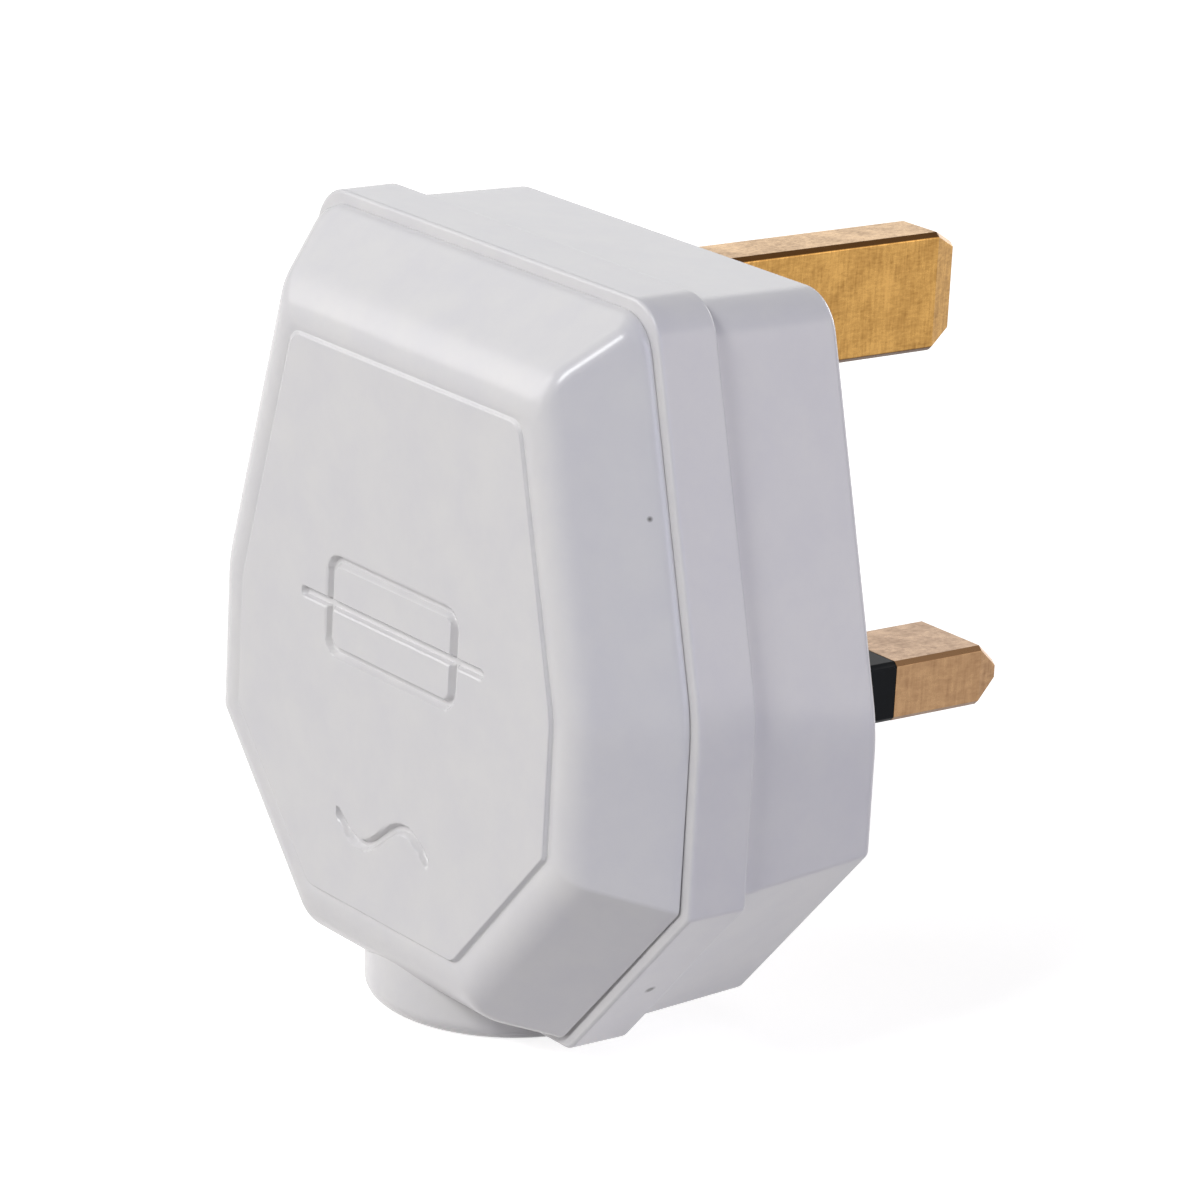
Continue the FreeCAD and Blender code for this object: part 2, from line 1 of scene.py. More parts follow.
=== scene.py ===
"""Portrait of a rewirable three pin mains plug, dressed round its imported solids.

The two mouldings are drawn again as smooth closed surfaces with real rounded edges, a raised
panel with sunk signs and an open parting gap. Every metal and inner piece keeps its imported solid
and gets its own finish. Sizes are millimetres in the part's own frame: the origin is the middle
of the pin face, +Y is the way the pins point, +Z is towards the earth pin, and the cover faces -Y.
"""

import json
import logging
import math
from dataclasses import dataclass
from enum import Enum

import bmesh
import bpy
import numpy as np
from mathutils import Matrix, Vector


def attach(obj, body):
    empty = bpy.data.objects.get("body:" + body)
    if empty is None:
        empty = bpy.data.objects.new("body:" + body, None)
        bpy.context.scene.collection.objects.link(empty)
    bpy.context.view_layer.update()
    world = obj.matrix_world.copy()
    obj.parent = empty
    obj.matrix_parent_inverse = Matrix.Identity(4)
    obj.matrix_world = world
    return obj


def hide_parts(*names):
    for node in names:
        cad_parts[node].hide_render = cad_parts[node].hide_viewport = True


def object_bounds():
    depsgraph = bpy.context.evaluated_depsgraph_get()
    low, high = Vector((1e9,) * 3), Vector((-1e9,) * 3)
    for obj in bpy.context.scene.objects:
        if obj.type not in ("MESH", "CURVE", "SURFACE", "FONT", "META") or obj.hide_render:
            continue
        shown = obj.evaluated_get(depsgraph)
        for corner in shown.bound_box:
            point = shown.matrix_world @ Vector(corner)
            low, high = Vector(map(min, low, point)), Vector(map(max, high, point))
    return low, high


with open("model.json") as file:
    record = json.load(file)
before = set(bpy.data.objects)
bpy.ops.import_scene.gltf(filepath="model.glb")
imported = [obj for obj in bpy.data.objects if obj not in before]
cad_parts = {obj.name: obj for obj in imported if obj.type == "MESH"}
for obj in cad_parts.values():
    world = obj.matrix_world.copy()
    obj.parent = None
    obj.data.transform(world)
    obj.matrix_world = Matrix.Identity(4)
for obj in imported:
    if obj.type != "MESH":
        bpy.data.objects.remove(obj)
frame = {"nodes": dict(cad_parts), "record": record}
cad_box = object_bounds()

MM = 0.001
WELD_MM = 0.002
CREASE_DEG = 32
# How far a cutter runs past what it cuts
OVERRUN_MM = 1.0
# Depth of the plane where cover and base meet, and the thickness of the base's wall there
PARTING = -14.6
BASE_WALL = 2.4
# Straight walls and rounded corners in the right half of the body's outline
WALLS = 5
CORNERS = 4
# Offset of a small rounded edge's middle point from the sharp corner, as a share of its radius
EDGE_MIDDLE = 0.3
# A block's corners as picks of the low or high limit along X, Y and Z, and its sides
BLOCK_CORNERS = np.array([(0, 0, 0), (1, 0, 0), (1, 1, 0), (0, 1, 0),
                          (0, 0, 1), (1, 0, 1), (1, 1, 1), (0, 1, 1)])
BLOCK_SIDES = np.array([(0, 1, 2, 3), (4, 5, 6, 7), (0, 1, 5, 4),
                        (1, 2, 6, 5), (2, 3, 7, 6), (3, 0, 4, 7)])
LOG = logging.getLogger("plug")


class Slot(Enum):
    """Material slots of the record that the finishes stand for."""

    BODY = "body_plastic"
    SLEEVE = "sleeve_plastic"
    BRASS = "brass"
    STEEL = "plated_steel"
    CLIP = "spring_clip"
    CAP = "nickel_cap"
    CERAMIC = "fuse_ceramic"
    WIRE = "fuse_wire"
    GRIP = "grip_plastic"
    FIBRE = "fibre"


class Join(Enum):
    """Ways in which one solid is worked into another."""

    ADD = "UNION"
    CUT = "DIFFERENCE"
    KEEP = "INTERSECT"


def linear(code: str) -> tuple[float, float, float, float]:
    """Turn an sRGB hex colour into linear red, green, blue and alpha.

    Args:
        code: Colour such as "#D8D6D6".

    Returns:
        The four linear channels, with alpha 1.
    """
    channels = np.array([int(code[start:start + 2], 16) for start in (1, 3, 5)]) / 255
    curved = np.where(channels <= 0.04045, channels / 12.92, ((channels + 0.055) / 1.055) ** 2.4)
    return (*curved.tolist(), 1.0)


def per_metre(size_mm: float) -> float:
    """Return the noise scale that gives features of about this size on object coordinates."""
    return 1 / (size_mm * MM)


def add_node(tree: bpy.types.NodeTree, kind: str, links: dict | None = None,
             values: dict | None = None, **settings: object) -> bpy.types.Node:
    """Add a node with its settings, its input values and the links into it.

    Args:
        tree: Node tree of a material or of the world.
        kind: Blender's name of the node type.
        links: Output sockets by the name or index of the input that they feed.
        values: Fixed values by the name or index of the input.
        settings: Properties of the node itself.

    Returns:
        The new node.
    """
    node = tree.nodes.new(kind)
    for name, value in settings.items():
        setattr(node, name, value)
    for name, value in (values or {}).items():
        node.inputs[name].default_value = value
    for name, socket in (links or {}).items():
        tree.links.new(socket, node.inputs[name])
    return node


def new_material(name: str) -> tuple[bpy.types.Material, bpy.types.NodeTree]:
    """Make an empty node material.

    Args:
        name: Name of the real material.

    Returns:
        The material and its node tree.
    """
    material = bpy.data.materials.new(name)
    material.use_nodes = True
    material.node_tree.nodes.clear()
    return material, material.node_tree


@dataclass(frozen=True)
class ShadeSpot:
    """Spot of painted shade on a moulding, where a tiny nick shows dark: where it is and how wide, in
    millimetres.
    """

    x: float
    y: float
    z: float
    radius: float


@dataclass(frozen=True)
class MouldedPlastic:
    """Plastic as it leaves a polished mould: an even colour, faint mottle and a slight orange peel."""

    name: str
    colour: str
    shade: str
    roughness: float
    ior: float
    mottle_mm: float = 4.0
    peel_mm: float = 0.9
    peel_height_mm: float = 0.006
    specular: float = 0.5
    # Spots of painted shade, each darkening the colour where a tiny nick shows dark
    shade_spots: tuple[ShadeSpot, ...] = ()
    spot_shade_colour: str = "#6C6A68"

    def build(self) -> bpy.types.Material:
        """Return the material: mottle and spots of painted shade in the colour, peel in the bump."""
        material, tree = new_material(self.name)
        place = add_node(tree, "ShaderNodeTexCoord").outputs["Object"]
        mottle = add_node(tree, "ShaderNodeTexNoise", {"Vector": place},
                          {"Scale": per_metre(self.mottle_mm), "Detail": 4.0, "Roughness": 0.6})
        amount = add_node(tree, "ShaderNodeMapRange", {"Value": mottle.outputs["Fac"]},
                          {"From Min": 0.35, "From Max": 0.65})
        colour = add_node(tree, "ShaderNodeMix", {0: amount.outputs["Result"]},
                          {6: linear(self.colour), 7: linear(self.shade)}, data_type="RGBA").outputs[2]
        # Painted shade: each spot darkens the colour towards a dark grey at its middle
        for spot in self.shade_spots:
            away = add_node(tree, "ShaderNodeVectorMath", {0: place},
                            {1: (spot.x * MM, spot.y * MM, spot.z * MM)}, operation="DISTANCE")
            spot_shade = add_node(tree, "ShaderNodeMapRange", {"Value": away.outputs["Value"]},
                           {"From Min": spot.radius * MM, "From Max": 0.4 * spot.radius * MM})
            colour = add_node(tree, "ShaderNodeMix", {0: spot_shade.outputs["Result"], 6: colour},
                              {7: linear(self.spot_shade_colour)}, data_type="RGBA").outputs[2]
        peel = add_node(tree, "ShaderNodeTexNoise", {"Vector": place},
                        {"Scale": per_metre(self.peel_mm), "Detail": 2.0})
        bump = add_node(tree, "ShaderNodeBump", {"Height": peel.outputs["Fac"]},
                        {"Strength": 0.6, "Distance": self.peel_height_mm * MM})
        skin = add_node(tree, "ShaderNodeBsdfPrincipled",
                        {"Base Color": colour, "Normal": bump.outputs["Normal"]},
                        {"Roughness": self.roughness, "IOR": self.ior,
                         "Specular IOR Level": self.specular})
        add_node(tree, "ShaderNodeOutputMaterial", {"Surface": skin.outputs["BSDF"]})
        return material


@dataclass(frozen=True)
class WorkedMetal:
    """Drawn, rolled or turned metal: two sets of fine crossed scratches, and painted shade on its edges.

    Real scratches are finer than 0.1 mm: grain_mm draws them as coarse as they need to show. An
    edge is told by the product of its normal's X and Z parts, which is 0 on the flat faces and 0.5
    on a slope of 45 degrees, and its painted shade sets in at slant_start and is full at slant_full.
    """

    name: str
    light: str
    dark: str
    # Colour of the painted shade on slanted edges
    edge: str
    roughness: float
    grain_mm: float = 0.22
    upright_run: float = 9.0
    length_run: float = 3.0
    scratch_mm: float = 0.004
    cloud_mm: float = 2.2
    slant_start: float = 0.2
    slant_full: float = 0.46
    edge_shade_share: float = 0.95

    def streaks(self, tree: bpy.types.NodeTree, place: bpy.types.NodeSocket,
                stretch: tuple[float, float, float]) -> bpy.types.NodeSocket:
        """Return noise drawn out along one direction.

        Args:
            tree: Node tree to add to.
            place: Object coordinates.
            stretch: Scale of the pattern along X, Y and Z: the smaller, the longer the streaks.

        Returns:
            The noise value, about 0.5 on average.
        """
        turned = add_node(tree, "ShaderNodeMapping", {"Vector": place}, {"Scale": stretch})
        noise = add_node(tree, "ShaderNodeTexNoise", {"Vector": turned.outputs["Vector"]},
                         {"Scale": per_metre(self.grain_mm), "Detail": 3.0, "Roughness": 0.65})
        return noise.outputs["Fac"]

    def build(self) -> bpy.types.Material:
        """Return the material: crossed grain in colour, roughness and bump, with painted shade on its
        edges.
        """
        material, tree = new_material(self.name)
        place = add_node(tree, "ShaderNodeTexCoord").outputs["Object"]
        upright = self.streaks(tree, place, (1.0, 1.0, 1 / self.upright_run))
        lengthwise = self.streaks(tree, place, (1.0, 1 / self.length_run, 1.0))
        grain = add_node(tree, "ShaderNodeMath", {0: upright, 1: lengthwise},
                         operation="ADD").outputs[0]
        cloud = add_node(tree, "ShaderNodeTexNoise", {"Vector": place},
                         {"Scale": per_metre(self.cloud_mm), "Detail": 3.0})
        both = add_node(tree, "ShaderNodeMath", {0: grain, 1: cloud.outputs["Fac"]},
                        operation="ADD").outputs[0]
        amount = add_node(tree, "ShaderNodeMapRange", {"Value": both},
                          {"From Min": 1.1, "From Max": 1.8})
        colour = add_node(tree, "ShaderNodeMix", {0: amount.outputs["Result"]},
                          {6: linear(self.dark), 7: linear(self.light)}, data_type="RGBA").outputs[2]
        # Painted shade: faces that slant between X and Z, the edges, are darkened towards the edge
        # colour
        facing = add_node(tree, "ShaderNodeNewGeometry").outputs["Normal"]
        parts = add_node(tree, "ShaderNodeSeparateXYZ", {"Vector": facing})
        product = add_node(tree, "ShaderNodeMath", {0: parts.outputs["X"], 1: parts.outputs["Z"]},
                           operation="MULTIPLY").outputs[0]
        slant = add_node(tree, "ShaderNodeMath", {0: product}, operation="ABSOLUTE").outputs[0]
        edge_shade = add_node(tree, "ShaderNodeMapRange", {"Value": slant},
                        {"From Min": self.slant_start, "From Max": self.slant_full,
                         "To Max": self.edge_shade_share})
        colour = add_node(tree, "ShaderNodeMix", {0: edge_shade.outputs["Result"], 6: colour},
                          {7: linear(self.edge)}, data_type="RGBA").outputs[2]
        rough = add_node(tree, "ShaderNodeMapRange", {"Value": both},
                         {"From Min": 1.2, "From Max": 1.8, "To Min": self.roughness + 0.08,
                          "To Max": self.roughness - 0.06})
        bump = add_node(tree, "ShaderNodeBump", {"Height": grain},
                        {"Strength": 0.7, "Distance": self.scratch_mm * MM})
        skin = add_node(tree, "ShaderNodeBsdfPrincipled",
                        {"Base Color": colour, "Roughness": rough.outputs["Result"],
                         "Normal": bump.outputs["Normal"]}, {"Metallic": 1.0})
        add_node(tree, "ShaderNodeOutputMaterial", {"Surface": skin.outputs["BSDF"]})
        return material


# Urea formaldehyde, compression moulded in a polished tool: hard, cool off white, satin gloss,
# with two small spots of painted shade where it is nicked
UREA = MouldedPlastic("moulded urea", "#DEDDDD", "#DAD9DB", 0.24, 1.55, specular=0.36,
                      shade_spots=(ShadeSpot(19.6, -15.7, 16.3, 0.24), ShadeSpot(17.7, -12.2, -15.0, 0.42)))
# Nylon 66 moulded over the pin's neck: near black with a dull sheen
NYLON_SLEEVE = MouldedPlastic("black nylon", "#06080B", "#0A0D11", 0.42, 1.53, mottle_mm=1.5,
                              specular=0.07)
# Nylon bar of the cord grip: creamy, matt from a blasted mould
NYLON_GRIP = MouldedPlastic("natural nylon", "#CFCBC0", "#C4BFB3", 0.5, 1.53, peel_height_mm=0.01)
# Cartridge barrel of steatite, fired unglazed: chalk white, dry
STEATITE = MouldedPlastic("fired steatite", "#E6E2D8", "#DAD5C8", 0.72, 1.6, mottle_mm=1.0)
# Vulcanised fibre sheet, stamped: brick red, papery
FIBRE = MouldedPlastic("vulcanised fibre", "#8F4A33", "#7B3D2A", 0.7, 1.5, mottle_mm=0.8)
# Drawn brass bar, sawn and linished across: golden, with painted shade on the edges
BRASS = WorkedMetal("drawn brass", "#C29655", "#8F6A37", "#4B2E14", 0.28)
# The same bar once handled: a browner, pinker tarnish
TARNISHED = WorkedMetal("tarnished brass", "#AD8A66", "#8C6C4E", "#7E5E41", 0.3, grain_mm=0.3,
                        cloud_mm=1.6)
# Zinc plated steel screws: cool grey, softly bright
ZINC = WorkedMetal("zinc plated steel", "#C9CBCF", "#A6A8AD", "#7C7D80", 0.3, grain_mm=0.15)
# Phosphor bronze strip, rolled: redder than brass
BRONZE = WorkedMetal("phosphor bronze", "#C99A68", "#AD7E4E", "#6C4A30", 0.3)
# Nickel plate on the fuse caps: warm silver, nearly a mirror
NICKEL = WorkedMetal("nickel plate", "#CFCAC1", "#B9B3A8", "#8A857B", 0.2, scratch_mm=0.001)
# Silvered copper fuse wire
SILVER = WorkedMetal("silvered wire", "#E3E1DC", "#CFCCC4", "#9A978F", 0.25, scratch_mm=0.001)

FINISHES = {
    Slot.BODY: UREA,
    Slot.SLEEVE: NYLON_SLEEVE,
    Slot.BRASS: BRASS,
    Slot.STEEL: ZINC,
    Slot.CLIP: BRONZE,
    Slot.CAP: NICKEL,
    Slot.CERAMIC: STEATITE,
    Slot.WIRE: SILVER,
    Slot.GRIP: NYLON_GRIP,
    Slot.FIBRE: FIBRE,
}


def strip(rows: int, columns: int, wrap_rows: bool) -> np.ndarray:
    """Return the quads of a grid of points that is closed round its columns.

    Point (r, c) has index r * columns + c, and each quad joins it to the next row and column.

    Args:
        rows: Number of rings.
        columns: Points in each ring.
        wrap_rows: Whether the last ring joins the first.

    Returns:
        Array of shape (quads, 4).
    """
    row = np.arange(rows if wrap_rows else rows - 1)[:, None]
    column = np.arange(columns)[None, :]
    next_row = (row + 1) % rows
    next_column = (column + 1) % columns
    corners = [row * columns + column, row * columns + next_column,
               next_row * columns + next_column, next_row * columns + column]
    return np.stack([np.broadcast_to(c, (len(row), columns)) for c in corners], -1).reshape(-1, 4)


def solid(name: str, points: np.ndarray, faces: list) -> bpy.types.Object:
    """Make a closed mesh object from millimetre points, welded and with its faces turned outwards.

    Args:
        name: Name of the object.
        points: Array of shape (count, 3).
        faces: Lists of point indices.

    Returns:
        The object, at the origin.
    """
    mesh = bpy.data.meshes.new(name)
    mesh.from_pydata((points * MM).tolist(), [], faces)
    shape = bmesh.new()
    shape.from_mesh(mesh)
    bmesh.ops.remove_doubles(shape, verts=shape.verts, dist=WELD_MM * MM)
    bmesh.ops.recalc_face_normals(shape, faces=shape.faces)
    shape.to_mesh(mesh)
    shape.free()
    piece = bpy.data.objects.new(name, mesh)
    bpy.context.scene.collection.objects.link(piece)
    return piece


def turned(name: str, profile: list, x: float, height: float, upright: bool,
           count: int = 96) -> bpy.types.Object:
    """Make a turned solid: the profile (radius, place along the axis) carried round a circle.

    A profile that starts and ends on the axis closes in two poles, any other closes on itself.

    Args:
        name: Name of the object.
        profile: Corners as (radius, place), millimetres.
        x: Place of the axis along X.
        height: Place of the axis along Z, or along Y where it is upright.
        upright: Whether the axis runs along Z and not along Y.
        count: Points round the circle.

    Returns:
        The object.
    """
    radius, place = np.array(profile, float).T
    angle = np.linspace(0, 2 * np.pi, count, endpoint=False)
    across = x + radius[:, None] * np.cos(angle)
    other = height + radius[:, None] * np.sin(angle)
    axial = np.broadcast_to(place[:, None], across.shape)
    order = (across, other, axial) if upright else (across, axial, other)
    points = np.stack(order, -1).reshape(-1, 3)
    poled = radius[0] == 0
    return solid(name, points, strip(len(profile), count, wrap_rows=not poled).tolist())


def blocks(name: str, limits: list) -> bpy.types.Object:
    """Make blocks that don't touch each other, as one object.

    Args:
        name: Name of the object.
        limits: For each block (x0, x1, y0, y1, z0, z1), millimetres.

    Returns:
        The object.
    """
    spans = np.array(limits, float).reshape(-1, 3, 2)
    points = spans[:, np.arange(3), BLOCK_CORNERS].reshape(-1, 3)
    starts = len(BLOCK_CORNERS) * np.arange(len(spans))
    faces = (BLOCK_SIDES + starts[:, None, None]).reshape(-1, 4)
    return solid(name, points, faces.tolist())


def work_in(target: bpy.types.Object, tool: bpy.types.Object, join: Join) -> None:
    """Add a tool solid to a target, cut it away or keep what both share, and remove the tool.

    Args:
        target: Object whose mesh changes.
        tool: Object that is used up.
        join: How the two are combined.
    """
    step = target.modifiers.new("step", "BOOLEAN")
    step.operation = join.value
    step.solver = "EXACT"
    step.object = tool
    graph = bpy.context.evaluated_depsgraph_get()
    worked = bpy.data.meshes.new_from_object(target.evaluated_get(graph))
    target.modifiers.remove(step)
    target.data = worked
    bpy.data.objects.remove(tool)


def eased(start: np.ndarray, end: np.ndarray, steps: int) -> np.ndarray:
    """Return sections or rings on the straight way between two, crowded towards both ends.

    Step s is start + (end - start) * (1 - cos(pi s)) / 2.

    Args:
        start: First section, or first ring of points.
        end: Last one, of the same shape.
        steps: Number of strips between them.

    Returns:
        Array of steps + 1 sections or rings, with the first and the last.
    """
    share = (1 - np.cos(np.linspace(0, np.pi, steps + 1))) / 2
    return start + (end - start) * share.reshape(-1, *[1] * start.ndim)


def quarter(start: np.ndarray, end: np.ndarray, steps: int, depth_first: bool) -> np.ndarray:
    """Return sections on a quarter circle whose depth and insets change by the radius.

    With depth_first the depth follows sin(t) and the rest 1 - cos(t), and without it they swap.

    Args:
        start: First section, its depth at index 0.
        end: Last section.
        steps: Number of strips on the quarter.
        depth_first: Whether the way starts along the depth.

    Returns:
        Array of shape (steps + 1, size of a section).
    """
    turn = np.linspace(0, np.pi / 2, steps + 1)[:, None]
    fast, slow = np.sin(turn), 1 - np.cos(turn)
    share = np.repeat(slow if depth_first else fast, len(start), axis=1)
    share[:, :1] = fast if depth_first else slow
    return start + (end - start) * share


@dataclass
class Outline:
    """Outline of the body at the parting plane, and the rings of points that follow it."""

    top_half: float = 17.6
    hip_half: float = 24.1
    top_height: float = 28.8
    hip_height: float = 4.5
    low_height: float = -8.0
    foot_half: float = 12.9
    foot_height: float = -20.3
    top_corner: float = 3.0
    hip_corner: float = 14.0
    low_corner: float = 0.55
    foot_corner: float = 1.3

    def walls(self) -> tuple[np.ndarray, np.ndarray]:
        """Return the right half's walls, top first, as lines normal . point = reach.

        Returns:
            Outward normals of shape (5, 2) and reaches of shape (5,).
        """
        corner = np.array([(0, self.top_height), (self.top_half, self.top_height),
                           (self.hip_half, self.hip_height), (self.hip_half, self.low_height),
                           (self.foot_half, self.foot_height), (0, self.foot_height)], float)
        run = np.diff(corner, axis=0)
        normal = np.stack([-run[:, 1], run[:, 0]], 1) / np.linalg.norm(run, axis=1)[:, None]
        return normal, (normal * corner[:-1]).sum(1)

    def section(self, depth: float, insets: float | tuple, top_corner: float | None = None,
                tight: float = 0.0) -> np.ndarray:
        """Return one section: depth, the five insets and the four corner radii.

        Args:
            depth: Place along Y.
            insets: One inset for all walls, or one for each, top first.
            top_corner: Radius of the top corner where it isn't the usual one.
            tight: Radius of every corner but the hip's, where it isn't 0.

        Returns:
            Array of 10 numbers.
        """
        moved = np.broadcast_to(np.asarray(insets, float), WALLS)
        radii = np.array([top_corner or self.top_corner, self.hip_corner - moved[2],
                          self.low_corner, self.foot_corner])
        if tight:
            radii[[0, 2, 3]] = tight
        return np.concatenate([[depth], moved, radii])

    def rings(self, sections: np.ndarray, arcs: tuple, runs: tuple) -> np.ndarray:
        """Return rings of points for a stack of sections.

        Each corner is an arc about the crossing of its two walls moved in by its radius:
        point = centre + radius * (cos t, sin t), with t from one wall's normal to the next's.
        Straight runs join the arcs, crowded towards them, and the left half mirrors the right.

        Args:
            sections: Array of shape (count, 10).
            arcs: Steps on each of the four corners.
            runs: Steps on each of the five walls of the right half.

        Returns:
            Array of shape (count, points, 3), starting at the top middle and going to +X.
        """
        normal, reach = self.walls()
        depth, insets, radii = sections[:, 0], sections[:, 1:1 + WALLS], sections[:, 1 + WALLS:]
        line = reach - insets
        first, second = line[:, :-1] - radii, line[:, 1:] - radii
        before, after = normal[:-1], normal[1:]
        cross = before[:, 0] * after[:, 1] - after[:, 0] * before[:, 1]
        centre = np.stack([(first * after[:, 1] - second * before[:, 1]) / cross,
                           (before[:, 0] * second - after[:, 0] * first) / cross], -1)
        facing = np.arctan2(normal[:, 1], normal[:, 0])
        bows = []
        for corner in range(CORNERS):
            turn = np.linspace(facing[corner], facing[corner + 1], arcs[corner] + 1)
            ray = np.stack([np.cos(turn), np.sin(turn)], -1)
            bows.append(centre[:, corner, None] + radii[:, corner, None, None] * ray)
        zero = np.zeros(len(sections))
        top = np.stack([zero, line[:, 0]], -1)[:, None]
        foot = np.stack([zero, self.foot_height + insets[:, -1]], -1)[:, None]
        share = np.sin(np.linspace(0, np.pi / 2, runs[0] + 1))[:-1, None]
        parts = [top + (bows[0][:, :1] - top) * share, bows[0]]
        for bow, next_bow, run in zip(bows, bows[1:], runs[1:-1]):
            share = (1 - np.cos(np.linspace(0, np.pi, run + 1)))[1:-1, None] / 2
            parts += [bow[:, -1:] + (next_bow[:, :1] - bow[:, -1:]) * share, next_bow]
        share = (1 - np.cos(np.linspace(0, np.pi / 2, runs[-1] + 1)))[1:, None]
        parts.append(bows[-1][:, -1:] + (foot - bows[-1][:, -1:]) * share)
        right = np.concatenate(parts, 1)
        left = right[:, -2:0:-1] * np.array([-1, 1])
        flat = np.concatenate([right, left], 1)
        deep = np.broadcast_to(depth[:, None], flat.shape[:2])
        return np.stack([flat[..., 0], deep, flat[..., 1]], -1)


@dataclass
class Boss:
    """Round pillar on the centre line that the cover screw runs through."""

    height: float = 8.0
    radius: float = 4.0
    edge: float = 0.15

    def rays(self, ring: np.ndarray) -> np.ndarray:
        """Return the unit directions (points, 2) from the boss's axis to a ring's points."""
        away = ring[:, [0, 2]] - np.array([0.0, self.height])
        return away / np.linalg.norm(away, axis=1)[:, None]

    def circles(self, rays: np.ndarray, profile: list) -> np.ndarray:
        """Return circles about the axis: point = axis + radius * ray, at each profile depth.

        Args:
            rays: Unit directions of shape (points, 2).
            profile: Steps as (radius, depth), millimetres.

        Returns:
            Array of shape (steps, points, 3).
        """
        radius, depth = np.array(profile, float).T
        flat = radius[:, None, None] * rays + np.array([0.0, self.height])
        deep = np.broadcast_to(depth[:, None], flat.shape[:2])
        return np.stack([flat[..., 0], deep, flat[..., 1]], -1)


def finish_piece(piece: bpy.types.Object, slot: Slot, material: bpy.types.Material,
                 *nodes: str) -> None:
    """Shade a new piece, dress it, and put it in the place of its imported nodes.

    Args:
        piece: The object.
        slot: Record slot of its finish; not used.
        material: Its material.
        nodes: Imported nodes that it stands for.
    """
    piece.data.materials.clear()
    piece.data.materials.append(material)
    piece.data.shade_smooth()
    piece.data.set_sharp_from_angle(angle=math.radians(CREASE_DEG))
    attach(piece, "root")
    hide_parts(*nodes)


@dataclass
class Collar:
    """Round collar of the cord entry, with its rounded lower edge and its bore."""

    radius: float = 9.0
    depth: float = -10.4
    bottom: float = -21.6
    edge: float = 1.2
    bore: float = 3.8
    root: float = -15.5
    edge_steps: int = 10
    ring_points: int = 128
    way_steps: int = 32

    def barrel(self, top: float, front: float, back: float) -> bpy.types.Object:
        """Return the part of the collar between two depths, up to a height inside the wall.

        The outer edge is a quarter circle carried round the collar's axis.

        Args:
            top: Height where the barrel ends, inside the body's wall.
            front: Depth of its front limit.
            back: Depth of its back limit.

        Returns:
            The object.
        """
        turn = np.linspace(0, np.pi / 2, self.edge_steps + 1)
        edge = np.stack([self.radius - self.edge * (1 - np.sin(turn)),
                         self.bottom + self.edge * (1 - np.cos(turn))], 1)
        profile = [(0.0, self.bottom)] + edge.tolist() + [(self.radius, top), (0.0, top)]
        barrel = turned("collar", profile, 0.0, self.depth, upright=True, count=self.ring_points)
        reach = 2 * self.radius
        kept = [(-reach, reach, front, back, self.bottom - OVERRUN_MM, top + OVERRUN_MM)]
        work_in(barrel, blocks("share", kept), Join.KEEP)
        return barrel

    def way(self, front: float | None) -> bpy.types.Object:
        """Return the cutter for the cord's way: its bore, opened to a front plane where one is given.

        Args:
            front: Depth that straight walls reach, or None for the round bore.

        Returns:
            The object.
        """
        turn = np.linspace(0, 2 * np.pi, 2 * self.way_steps + 1)[:-1]
        if front is not None:
            turn = np.linspace(0, np.pi, self.way_steps + 1)
        flat = np.stack([self.bore * np.cos(turn), self.depth + self.bore * np.sin(turn)], 1)
        if front is not None:
            flat = np.concatenate([flat, [(-self.bore, front), (self.bore, front)]])
        count = len(flat)
        low = np.column_stack([flat, np.full(count, self.bottom - OVERRUN_MM)])
        high = np.column_stack([flat, np.full(count, self.root)])
        walls = strip(2, count, wrap_rows=False).tolist()
        caps = [list(range(count)), list(range(count, 2 * count))]
        return solid("cord_way", np.concatenate([low, high]), walls + caps)


